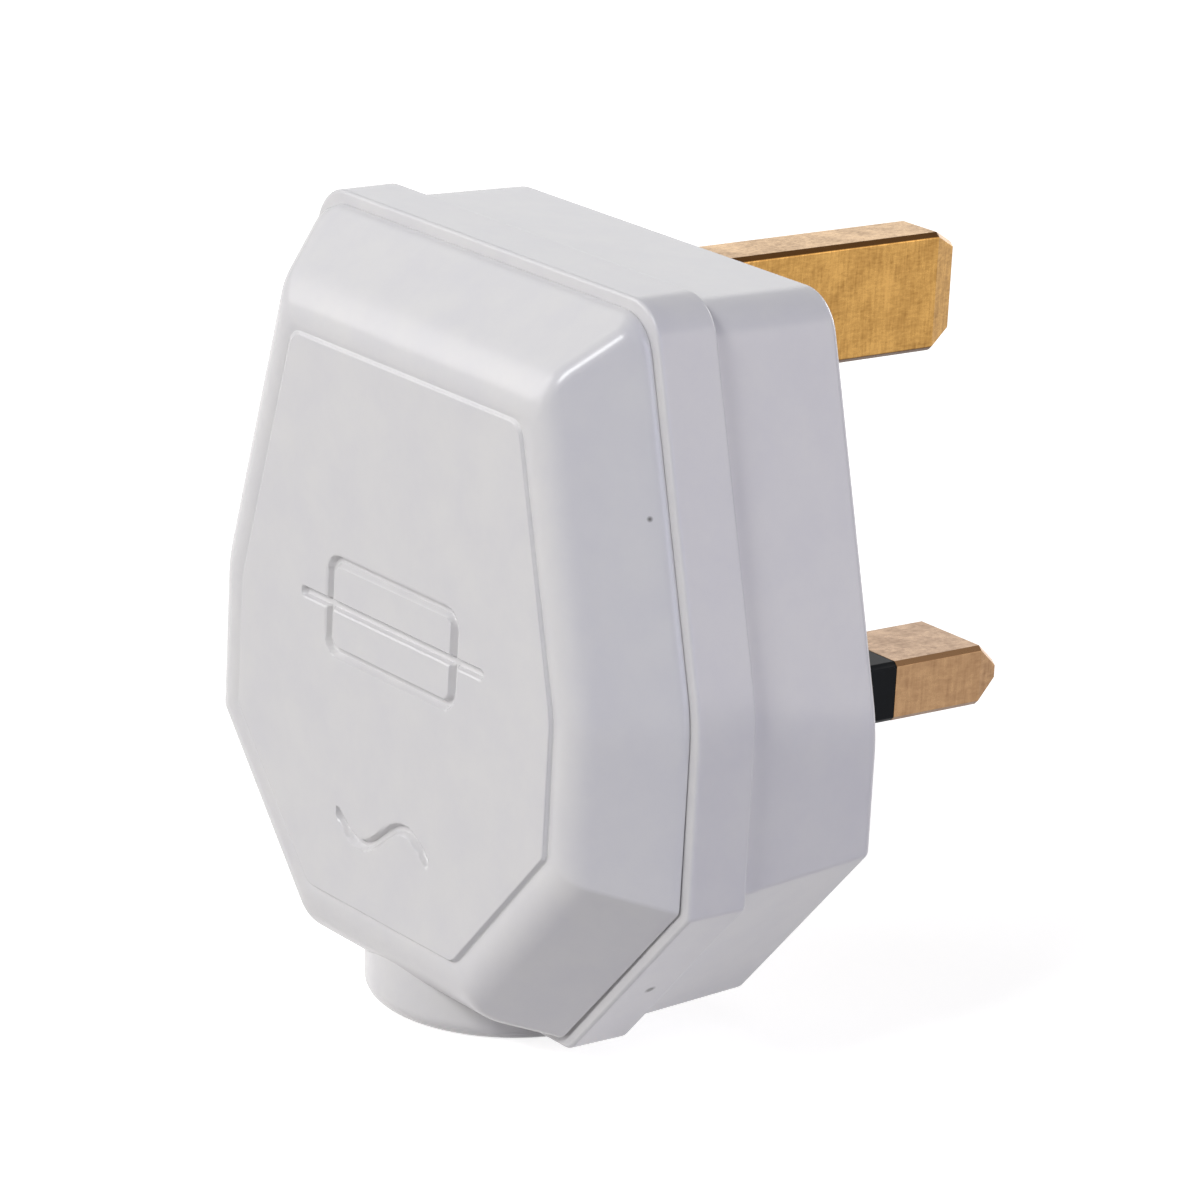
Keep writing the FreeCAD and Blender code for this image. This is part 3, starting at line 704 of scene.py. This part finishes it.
@dataclass
class BaseMoulding:
    """Rear moulding: the rim, the narrower body behind it, the pin face and what stands inside.

    Ribs and saddles are given by their limits (x0, x1, z0, z1), and the grip's boss by its turned
    profile (radius, depth), from the bottom of its blind hole to its outer edge.
    """

    outline: Outline
    boss: Boss
    collar: Collar
    parting: float = PARTING
    rim_depth: float = 4.45
    rim_round: float = 0.24
    rim_edge: float = 0.3
    valley: float = 0.25
    mouth_land: float = 0.2
    rear_edge: float = 0.7
    rear_start: tuple = (0.7, 0.7, 0.7, 0.7, 0.7)
    rear_end: tuple = (0.95, 1.1, 0.4, 1.4, 1.1)
    wall: float = BASE_WALL
    floor_wall: float = 3.2
    floor: float = -3.6
    inner_corner: float = 0.5
    head_room: float = 3.6
    head_seat: float = -2.4
    screw_way: float = 1.95
    boss_end: float = -11.4
    collar_top: float = -19.0
    sink: float = 0.4
    rib_top: float = -9.0
    ribs: tuple = ((-6.915, -5.715, -8.6, 15.8), (3.4, 9.0, 16.6, 17.8), (4.0, 5.2, -8.6, 3.9))
    saddle_rise: float = 2.0
    saddles: tuple = ((-5.0, 5.0, -15.6, -14.4), (-5.0, 5.0, -11.0, -9.8))
    grip_x: float = 8.2
    grip_height: float = -12.7
    grip_radius: float = 2.5
    grip_profile: tuple = ((0.0, -4.6), (1.45, -4.6), (1.45, -9.6), (2.35, -9.6), (2.5, -9.45))
    arcs: tuple = (18, 8, 12, 12)
    runs: tuple = (10, 12, 8, 10, 8)

    def outside(self) -> np.ndarray:
        """Return the sections from the wall's mouth over the rim to the edge of the pin face.

        Between the rim and the pin face each wall's inset runs evenly from rear_start to rear_end.

        Returns:
            Array of shape (count, 10).
        """
        make = self.outline.section
        face, back = self.parting, self.parting + self.rim_depth
        rounded = face + self.rim_round

        def rear(depth: float, extra: float = 0.0) -> np.ndarray:
            """Return the rear body's section at a depth, moved in by an extra inset.

            Args:
                depth: Place along Y.
                extra: Inset on top of the wall's own.

            Returns:
                Array of 10 numbers.
            """
            share = (depth - rounded) / -rounded
            start, end = np.array(self.rear_start), np.array(self.rear_end)
            return make(depth, tuple(start + (end - start) * share + extra))

        return np.concatenate([
            eased(make(face, self.wall - self.mouth_land), make(face, self.rim_round), 6)[:-1],
            quarter(make(face, self.rim_round), make(rounded, 0.0), 10, depth_first=False),
            eased(make(rounded, 0.0), make(back - self.rim_edge, 0.0), 10)[1:-1],
            quarter(make(back - self.rim_edge, 0.0), make(back, self.rim_edge), 8, depth_first=True),
            quarter(rear(back, -self.valley), rear(back + self.valley), 6, depth_first=False),
            eased(rear(back + self.valley), rear(-self.rear_edge), 14)[1:-1],
            quarter(rear(-self.rear_edge), rear(0.0, self.rear_edge), 12, depth_first=True),
        ])

    def shell(self) -> bpy.types.Object:
        """Return the closed shell: outside, pin face, screw way, floor and inside in one ring.

        Returns:
            The object, its last ring joined to its first across the wall's mouth.
        """
        make = self.outline.section
        outer = self.outline.rings(self.outside(), self.arcs, self.runs)
        floor = make(self.floor, self.floor_wall, tight=self.inner_corner)
        mouth = make(self.parting, self.wall, tight=self.inner_corner)
        inner = self.outline.rings(eased(floor, mouth, 8), self.arcs, self.runs)
        rays = self.boss.rays(outer[-1])
        edge = self.boss.edge
        middle = EDGE_MIDDLE * edge
        way = [(self.head_room + edge, 0.0), (self.head_room + middle, -middle),
               (self.head_room, -edge), (self.head_room, self.head_seat),
               (self.screw_way, self.head_seat), (self.screw_way, self.boss_end),
               (self.boss.radius - edge, self.boss_end), (self.boss.radius, self.boss_end + edge),
               (self.boss.radius, self.floor)]
        circles = self.boss.circles(rays, way)
        rings = np.concatenate([outer, eased(outer[-1], circles[0], 8)[1:-1], circles,
                                eased(circles[-1], inner[0], 8)[1:-1], inner])
        faces = strip(len(rings), rings.shape[1], wrap_rows=True)
        return solid("base_moulding", rings.reshape(-1, 3), faces.tolist())

    def fittings(self) -> bpy.types.Object:
        """Return the ribs and cord saddles that stand on the floor, their roots sunk into it.

        Returns:
            The blocks, as one object.
        """
        sunk = self.floor + self.sink
        saddle_top = self.floor - self.saddle_rise
        limits = [(x0, x1, top, sunk, z0, z1)
                  for top, places in ((self.rib_top, self.ribs), (saddle_top, self.saddles))
                  for x0, x1, z0, z1 in places]
        return blocks("ribs", limits)

    def grip_boss(self, x: float) -> bpy.types.Object:
        """Return one of the two bosses that the cord grip's screws enter, with its blind hole.

        Args:
            x: Place of its axis.

        Returns:
            The object.
        """
        sunk = self.floor + self.sink
        profile = [*self.grip_profile, (self.grip_radius, sunk), (0.0, sunk)]
        return turned("grip_boss", profile, x, self.grip_height, upright=False, count=48)

    def build(self, material: bpy.types.Material) -> bpy.types.Object:
        """Make the moulding, with its collar, fittings and cord way, and dress it.

        Args:
            material: Its material.

        Returns:
            The finished piece.
        """
        piece = self.shell()
        work_in(piece, self.collar.barrel(self.collar_top, self.parting, 0.0), Join.ADD)
        work_in(piece, self.fittings(), Join.ADD)
        for x in (-self.grip_x, self.grip_x):
            work_in(piece, self.grip_boss(x), Join.ADD)
        work_in(piece, self.collar.way(self.parting - OVERRUN_MM), Join.CUT)
        finish_piece(piece, Slot.BODY, material, "base")
        return piece


@dataclass
class Sign:
    """Sunk signs on the front: a plain fuse symbol and, below it, a wave for alternating current."""

    half_width: float = 10.0
    low: float = -11.0
    high: float = 8.7
    across: int = 132
    up: int = 162
    depth: float = 0.4
    edge: float = 0.24
    stroke: float = 0.27
    fuse_height: float = 4.4
    fuse_half_length: float = 6.8
    fuse_half_height: float = 3.0
    fuse_corner: float = 1.0
    wire_half: float = 9.6
    wave_height: float = -9.2
    wave_half: float = 4.8
    wave_rise: float = 1.2

    def sunk(self, x: np.ndarray, z: np.ndarray) -> np.ndarray:
        """Return how deep the front is sunk at each point.

        The fuse is the band where the distance to a rounded rectangle is under half a stroke, the
        wire a band about a level line, and the wave a band about rise * sin(pi x / half). The
        depth falls off over the edge's width by 3 t^2 - 2 t^3.

        Args:
            x: Places across.
            z: Heights.

        Returns:
            Depths, 0 where nothing is sunk.
        """
        dx = np.abs(x) - self.fuse_half_length + self.fuse_corner
        dz = np.abs(z - self.fuse_height) - self.fuse_half_height + self.fuse_corner
        away = np.hypot(np.maximum(dx, 0), np.maximum(dz, 0))
        barrel = np.abs(away + np.minimum(np.maximum(dx, dz), 0) - self.fuse_corner)
        wire = np.hypot(np.maximum(np.abs(x) - self.wire_half, 0), z - self.fuse_height)
        phase = np.pi * x / self.wave_half
        slope = self.wave_rise * np.pi / self.wave_half * np.cos(phase)
        off = (z - self.wave_height - self.wave_rise * np.sin(phase)) / np.sqrt(1 + slope ** 2)
        wave = np.hypot(np.maximum(np.abs(x) - self.wave_half, 0), off)
        nearest = np.minimum(np.minimum(barrel, wire), wave)
        share = np.clip((self.stroke + self.edge / 2 - nearest) / self.edge, 0, 1)
        return self.depth * share ** 2 * (3 - 2 * share)

    def grid(self, front: float) -> tuple[np.ndarray, np.ndarray, np.ndarray]:
        """Return the sunk field's points, its quads and its border in ring order.

        Args:
            front: Depth of the panel's face.

        Returns:
            Points (count, 3), quads (count, 4) and the border's points (count, 3), from the top
            middle towards +X.
        """
        x, z = np.meshgrid(np.linspace(-self.half_width, self.half_width, self.across + 1),
                           np.linspace(self.high, self.low, self.up + 1))
        field = np.stack([x, front + self.sunk(x, z), z], -1)
        index = np.arange(x.size).reshape(x.shape)
        quads = np.stack([index[:-1, :-1], index[:-1, 1:], index[1:, 1:], index[1:, :-1]], -1)
        middle = self.across // 2
        border = np.concatenate([field[0, middle:], field[1:, -1], field[-1, -2::-1],
                                 field[-2::-1, 0], field[0, 1:middle]])
        return field.reshape(-1, 3), quads.reshape(-1, 4), border


@dataclass
class CoverMoulding:
    """Front moulding: leaning walls that roll over into the front, the raised panel and its signs.

    Leans, rounds and panel insets go by wall, top first. Posts are given by (x0, x1, z0, z1).
    """

    outline: Outline
    boss: Boss
    collar: Collar
    sign: Sign
    parting: float = PARTING
    depth: float = 5.6
    step: float = 0.6
    gap_top: float = 0.01
    gap_foot: float = 0.26
    gap_reach: float = 1.2
    edge: float = 0.04
    leans: tuple = (5.2, 4.8, 4.8, 4.8, 2.0)
    rounds: tuple = (4.4, 2.7, 2.7, 2.7, 3.6)
    blend_depth: float = 1.2
    bevel_corner: float = 1.1
    panel_rise: float = 0.3
    panel_top_rise: float = 0.12
    groove: float = 0.05
    panel_insets: tuple = (7.9, 7.2, 7.2, 7.2, 5.4)
    panel_corner: float = 1.2
    panel_edge: float = 0.11
    panel_lean: float = 0.1
    wall: float = 2.2
    base_wall: float = BASE_WALL
    lip_gap: float = 0.2
    lip: float = 1.0
    lip_root: float = 0.5
    boss_end: float = -12.0
    insert_radius: float = 2.6
    insert_end: float = -17.0
    inner_corner: float = 0.5
    collar_top: float = -17.4
    sink: float = 0.5
    post_tip: float = -11.2
    posts: tuple = ((-2.4, 2.4, 18.23, 19.43), (-14.715, -13.515, -2.4, 2.4), (4.8, 8.8, 9.6, 10.8))
    tongue_half: float = 3.7
    tongue_tip: float = -12.2
    tongue_top: float = -16.7
    tongue_clear: float = 0.02
    roll_rows: int = 46
    arcs: tuple = (22, 10, 14, 14)
    runs: tuple = (44, 66, 42, 50, 32)

    def rolled(self) -> np.ndarray:
        """Return the sections of the walls from the front's rim down to the parting edge.

        At a height h below the front each wall's inset is lean + reach - sqrt(2 r h - h^2) on its
        roll of radius r, then a straight line to the step at the parting plane. Heights run as
        depth * s^2, so that strips are even where the roll meets the front.

        Returns:
            Array of shape (count, 10).
        """
        below = self.depth * np.linspace(0, 1, self.roll_rows) ** 2
        below = below[below < self.depth - self.edge]
        lean, radius = np.array(self.leans), np.array(self.rounds)
        slope = np.arctan2(lean - self.step, self.depth)
        reach = radius * np.tan((np.pi / 2 - slope) / 2)
        height = below[:, None]
        curve = lean + reach - np.sqrt(np.maximum(2 * radius * height - height ** 2, 0))
        straight = self.step + (self.depth - height) * np.tan(slope)
        inset = np.where(height < reach * np.cos(slope), curve, straight)
        share = np.minimum((self.depth - below) / self.blend_depth, 1)
        corner = self.outline.top_corner + (self.bevel_corner - self.outline.top_corner) * share
        rows = [self.outline.section(self.parting - self.depth + down, tuple(row), top_corner=size)
                for down, row, size in zip(below, inset, corner)]
        return np.stack(rows)

    def gape(self, height: np.ndarray) -> np.ndarray:
        """Return how far the edge stands off the rim more than at the top, growing towards the foot.

        The cover is held by one screw above its middle: gape = (foot - top) * share ** 3, with
        the share running from 0 at the top of the outline to 1 at its foot.

        Args:
            height: Heights of the points.

        Returns:
            Distances in millimetres.
        """
        tall = self.outline.top_height - self.outline.foot_height
        share = np.clip((self.outline.top_height - height) / tall, 0, 1)
        return (self.gap_foot - self.gap_top) * share ** 3

    def fall(self, height: np.ndarray) -> np.ndarray:
        """Return how far the panel's face falls back to the front, growing towards its top.

        The moulding has sunk a little there: fall = (rise - top_rise) * share, with the share
        running from 0 at the panel's foot to 1 at its top.

        Args:
            height: Heights of the points.

        Returns:
            Distances in millimetres.
        """
        low = self.outline.foot_height + self.panel_insets[-1]
        high = self.outline.top_height - self.panel_insets[0]
        return (self.panel_rise - self.panel_top_rise) * np.clip((height - low) / (high - low), 0, 1)

    def outside(self) -> list[np.ndarray]:
        """Return the sections from the panel over the walls and the open edge to the lip.

        Returns:
            Three arrays of shape (count, 10): panel and walls, the open edge, contact face and lip.
        """
        make = self.outline.section
        front = self.parting - self.depth
        raised = front - self.panel_rise
        edge = self.panel_edge

        def panel(depth: float, out: float) -> np.ndarray:
            """Return the panel's outline at a depth, moved outwards by out."""
            return make(depth, tuple(np.array(self.panel_insets) - out), top_corner=self.panel_corner)

        rolled = self.rolled()
        last = rolled[-1]
        face = self.parting - self.gap_top
        brim = make(face - self.edge, tuple(last[1:1 + WALLS]))
        turned_in = make(face, tuple(last[1:1 + WALLS] + self.edge))
        shut = make(face, self.gap_reach)
        inner = self.base_wall + self.lip_gap
        tip = self.parting + self.lip
        spread = self.panel_lean
        sunk = front + self.groove
        walls = np.concatenate([
            panel(raised, -2 * edge)[None], panel(raised, -edge)[None],
            quarter(panel(raised, -edge), panel(raised + edge, 0.0), 5, depth_first=False)[1:],
            quarter(panel(sunk - edge, spread), panel(sunk, spread + edge), 5, depth_first=True),
            panel(front, spread + 2 * edge)[None],
            rolled[:-1],
        ])
        open_edge = np.concatenate([
            quarter(brim, turned_in, 6, depth_first=True),
            eased(turned_in, shut, 3)[1:],
        ])
        inside = np.stack([
            make(self.parting, self.gap_reach),
            make(self.parting, inner, tight=self.inner_corner),
            make(tip, inner, tight=self.inner_corner),
            make(tip, inner + self.lip, tight=self.inner_corner),
            make(self.parting - self.lip_root, inner + self.lip, tight=self.inner_corner),
        ])
        return [walls, open_edge, inside]

    def shell(self) -> bpy.types.Object:
        """Return the closed shell: signs, panel, walls, parting edge, lip, roof and insert's hole.

        Returns:
            The object, closed by the sign's field in front and a pole at the hole's end.
        """
        front = self.parting - self.depth
        field, quads, border = self.sign.grid(front - self.panel_rise)
        walls, open_edge, inside = (self.outline.rings(group, self.arcs, self.runs)
                                    for group in self.outside())
        raised = np.clip((front - walls[..., 1]) / self.panel_rise, 0, 1)
        walls[..., 1] += raised * self.fall(walls[..., 2])
        field[:, 1] += self.fall(field[:, 2])
        border[:, 1] += self.fall(border[:, 2])
        open_edge[..., 1] -= self.gape(open_edge[..., 2])
        outer = np.concatenate([walls, open_edge, inside])
        deep = self.depth - self.wall
        roof_insets = np.array(self.leans) * deep / self.depth + self.wall
        roof = self.outline.section(self.parting - deep, tuple(roof_insets), tight=self.inner_corner)
        inner = self.outline.rings(roof[None], self.arcs, self.runs)
        rays = self.boss.rays(inner[0])
        edge = self.boss.edge
        hole = [(self.boss.radius, self.parting - deep), (self.boss.radius, self.boss_end - edge),
                (self.boss.radius - edge, self.boss_end), (self.insert_radius, self.boss_end),
                (self.insert_radius, self.insert_end), (0.0, self.insert_end)]
        circles = self.boss.circles(rays, hole)
        rings = np.concatenate([eased(border, outer[0], 6)[:-1], outer, inner,
                                eased(inner[0], circles[0], 6)[1:-1], circles])
        faces = strip(len(rings), rings.shape[1], wrap_rows=False)
        points = np.concatenate([rings.reshape(-1, 3), field])
        start = rings.shape[0] * rings.shape[1]
        return solid("cover_moulding", points, faces.tolist() + (quads + start).tolist())

    def fittings(self) -> bpy.types.Object:
        """Return the posts that hold the terminals down and the tongue that closes the cord entry.

        Returns:
            The blocks, as one object.
        """
        root = self.parting - self.depth + self.wall - self.sink
        posts = [(x0, x1, root, self.post_tip, z0, z1) for x0, x1, z0, z1 in self.posts]
        tongue = (-self.tongue_half, self.tongue_half, self.parting - self.sink, self.tongue_tip,
                  self.collar.bottom + self.tongue_clear, self.tongue_top)
        return blocks("posts", [*posts, tongue])

    def build(self, material: bpy.types.Material) -> bpy.types.Object:
        """Make the moulding, with its share of the collar, and dress it.

        Args:
            material: Its material.

        Returns:
            The finished piece.
        """
        piece = self.shell()
        front = self.parting - self.depth
        work_in(piece, self.collar.barrel(self.collar_top, front, self.parting), Join.ADD)
        work_in(piece, self.fittings(), Join.ADD)
        work_in(piece, self.collar.way(None), Join.CUT)
        finish_piece(piece, Slot.BODY, material, "cover")
        return piece


@dataclass
class PackedPieces:
    """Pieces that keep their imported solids: they get a finish, and those in sight a softened edge."""

    edge: float = 0.09
    edge_steps: int = 3
    edge_angle: float = 25.0
    in_sight: tuple = ("earth_pin", "live_pin", "neutral_pin", "live_sleeve", "neutral_sleeve",
                       "cover_screw")
    handled: tuple = ("live_pin", "neutral_pin")

    def soften(self, piece: bpy.types.Object) -> None:
        """Round a piece's sharp edges a little, as tumbling and plating leave them.

        Args:
            piece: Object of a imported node.
        """
        weld = piece.modifiers.new("weld", "WELD")
        weld.merge_threshold = WELD_MM * MM
        bevel = piece.modifiers.new("edge", "BEVEL")
        bevel.width = self.edge * MM
        bevel.segments = self.edge_steps
        bevel.limit_method = "ANGLE"
        bevel.angle_limit = math.radians(self.edge_angle)
        bevel.harden_normals = True

    def dress(self, materials: dict[Slot, bpy.types.Material]) -> None:
        """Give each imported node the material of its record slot.

        Args:
            materials: Built materials by slot.
        """
        slots = {row["node"]: Slot(row["material_slot"]) for row in frame["record"]["subparts"]}
        tarnished = TARNISHED.build()
        for name, piece in frame["nodes"].items():
            piece.data.materials.clear()
            piece.data.materials.append(tarnished if name in self.handled else materials[slots[name]])
            if name in self.in_sight:
                self.soften(piece)
            LOG.info("%s: packed solid, %s", name, slots[name].value)


@dataclass(frozen=True)
class Lamp:
    """Square soft lamp that faces the plug.

    The azimuth runs in degrees from the cover's side towards +X, the elevation in degrees above
    the plug. The size is its side in millimetres, and the power is in watts.
    """

    name: str
    azimuth: float
    elevation: float
    size: float
    power: float
    colour: str = "#FFFFFF"

    def hang(self, distance: float) -> None:
        """Add the lamp to the scene.

        Args:
            distance: How far it hangs from the plug, in millimetres.
        """
        turn, rise = math.radians(self.azimuth), math.radians(self.elevation)
        aim = Vector((math.sin(turn) * math.cos(rise), -math.cos(turn) * math.cos(rise), math.sin(rise)))
        data = bpy.data.lights.new(self.name, "AREA")
        data.size = self.size * MM
        data.energy = self.power
        data.color = linear(self.colour)[:3]
        lamp = bpy.data.objects.new(self.name, data)
        lamp.location = aim * distance * MM
        lamp.rotation_euler = aim.to_track_quat("Z", "Y").to_euler()
        bpy.context.scene.collection.objects.link(lamp)


@dataclass
class Studio:
    """Pale floor, soft lamps, a white surround and the camera at the photograph's angle."""

    azimuth: float = 52.4495
    elevation: float = 17.2372
    roll: float = 2.9603
    target: tuple = (0.0, -8.0, 8.0)
    target_pixel: tuple = (553.289, 550.248)
    photo_size: int = 1200
    focal_pixels: float = 5259.379
    distance: float = 334.2517
    sensor: float = 36.0
    floor_half: float = 3000.0
    floor_colour: str = "#D2D0CE"
    floor_glow: float = 0.8
    shadow_reach: float = 120.0
    white_reach: float = 360.0
    surround: str = "#F2F3FA"
    surround_strength: float = 0.04
    lamp_distance: float = 1200.0
    lamps: tuple[Lamp, ...] = (
        Lamp("key", 12, 41, 320, 6.1),
        Lamp("left_fill", -40, 20, 700, 5.6, "#FFFDFD"),
        Lamp("left_window", -70, 38, 700, 1.6),
        Lamp("right_fill", 96, 20, 700, 4.0, "#DCE0FF"),
        Lamp("back_fill", 135, 12, 700, 2.9, "#FFF6EE"),
        Lamp("back_light", 232, 17, 500, 0.36),
        Lamp("rear_fill", 194, 8, 500, 3.0),
    )

    def camera(self) -> None:
        """Place the camera so that the target falls on its pixel of the photograph.

        The rows are the camera's right, down and forward directions, and seen is the target along
        them: (pixel - middle) / focal length * distance, then the distance itself.
        """
        turn, rise, roll = (math.radians(v) for v in (self.azimuth, self.elevation, self.roll))
        back = np.array([math.sin(turn) * math.cos(rise), -math.cos(turn) * math.cos(rise),
                         math.sin(rise)])
        right = np.array([math.cos(turn), math.sin(turn), 0.0])
        rows = np.stack([right, -np.cross(back, right), -back])
        tilt = np.array([[math.cos(roll), -math.sin(roll), 0], [math.sin(roll), math.cos(roll), 0],
                         [0, 0, 1]])
        rows = tilt @ rows
        middle = self.photo_size / 2
        seen = np.array([(pixel - middle) / self.focal_pixels * self.distance
                         for pixel in self.target_pixel] + [self.distance])
        place = np.array(self.target) - rows.T @ seen
        axes = np.stack([rows[0], -rows[1], -rows[2]], 1)
        data = bpy.data.cameras.new("portrait_camera")
        data.sensor_width = self.sensor
        data.lens = self.focal_pixels / self.photo_size * self.sensor
        data.clip_start, data.clip_end = 0.01, 20.0
        camera = bpy.data.objects.new("portrait_camera", data)
        camera.matrix_world = Matrix.Translation(Vector(place * MM)) @ Matrix(axes.tolist()).to_4x4()
        bpy.context.scene.collection.objects.link(camera)
        bpy.context.scene.camera = camera

    def shown_ray(self, tree: bpy.types.NodeTree) -> bpy.types.NodeSocket:
        """Return 1 for rays that show the background: from the camera, in gloss or through glass.

        Args:
            tree: Node tree to add to.

        Returns:
            The socket with the value.
        """
        path = add_node(tree, "ShaderNodeLightPath")
        seen = add_node(tree, "ShaderNodeMath", {0: path.outputs["Is Camera Ray"],
                                                 1: path.outputs["Is Glossy Ray"]}, operation="MAXIMUM")
        return add_node(tree, "ShaderNodeMath", {0: seen.outputs[0],
                                                 1: path.outputs["Is Transmission Ray"]},
                        operation="MAXIMUM").outputs[0]

    def surroundings(self) -> None:
        """Light the plug from all round, and show white where nothing stands."""
        world = bpy.data.worlds.new("white_surround")
        world.use_nodes = True
        bpy.context.scene.world = world
        tree = world.node_tree
        tree.nodes.clear()
        soft = add_node(tree, "ShaderNodeBackground", None,
                        {"Color": linear(self.surround), "Strength": self.surround_strength})
        white = add_node(tree, "ShaderNodeBackground", None, {"Color": (1, 1, 1, 1), "Strength": 1.0})
        shown = add_node(tree, "ShaderNodeMixShader", {0: self.shown_ray(tree),
                                                       1: soft.outputs[0], 2: white.outputs[0]})
        add_node(tree, "ShaderNodeOutputWorld", {"Surface": shown.outputs[0]})

    def floor(self, height: float) -> None:
        """Lay a matt floor that keeps the plug's shadow and glows out to plain white.

        Its glow is floor_glow up to shadow_reach from the origin, and rises evenly to 1 at
        white_reach. Only rays that show the background see it, so it adds no matt light.

        Args:
            height: Its height in millimetres.
        """
        reach = self.floor_half
        points = np.array([(-reach, -reach, height), (reach, -reach, height),
                           (reach, reach, height), (-reach, reach, height)])
        mesh = bpy.data.meshes.new("floor")
        mesh.from_pydata((points * MM).tolist(), [], [(0, 1, 2, 3)])
        floor = bpy.data.objects.new("floor", mesh)
        bpy.context.scene.collection.objects.link(floor)
        material, tree = new_material("matt white paper")
        paper = add_node(tree, "ShaderNodeBsdfDiffuse", None, {"Color": linear(self.floor_colour)})
        place = add_node(tree, "ShaderNodeTexCoord").outputs["Object"]
        away = add_node(tree, "ShaderNodeVectorMath", {0: place}, operation="LENGTH").outputs["Value"]
        level = add_node(tree, "ShaderNodeMapRange", {"Value": away},
                         {"From Min": self.shadow_reach * MM, "From Max": self.white_reach * MM,
                          "To Min": self.floor_glow, "To Max": 1.0})
        strength = add_node(tree, "ShaderNodeMath",
                            {0: level.outputs["Result"], 1: self.shown_ray(tree)}, operation="MULTIPLY")
        glow = add_node(tree, "ShaderNodeEmission", {"Strength": strength.outputs[0]})
        both = add_node(tree, "ShaderNodeAddShader", {0: paper.outputs[0], 1: glow.outputs[0]})
        add_node(tree, "ShaderNodeOutputMaterial", {"Surface": both.outputs[0]})
        mesh.materials.append(material)

    def build(self) -> None:
        """Set up the whole studio."""
        self.camera()
        self.surroundings()
        self.floor(cad_box[0].z / MM)
        for lamp in self.lamps:
            lamp.hang(self.lamp_distance)
        bpy.context.scene.view_settings.view_transform = "Standard"


def main() -> None:
    """Build the studio, the two mouldings and the finishes, and log each piece."""
    logging.basicConfig(level=logging.INFO, format="%(name)s: %(message)s")
    Studio().build()
    materials = {slot: finish.build() for slot, finish in FINISHES.items()}
    PackedPieces().dress(materials)
    outline, boss, collar = Outline(), Boss(), Collar()
    mouldings = (BaseMoulding(outline, boss, collar), CoverMoulding(outline, boss, collar, Sign()))
    for moulding in mouldings:
        piece = moulding.build(materials[Slot.BODY])
        LOG.info("%s: %d faces", piece.name, len(piece.data.polygons))


if __name__ == "__main__":
    main()
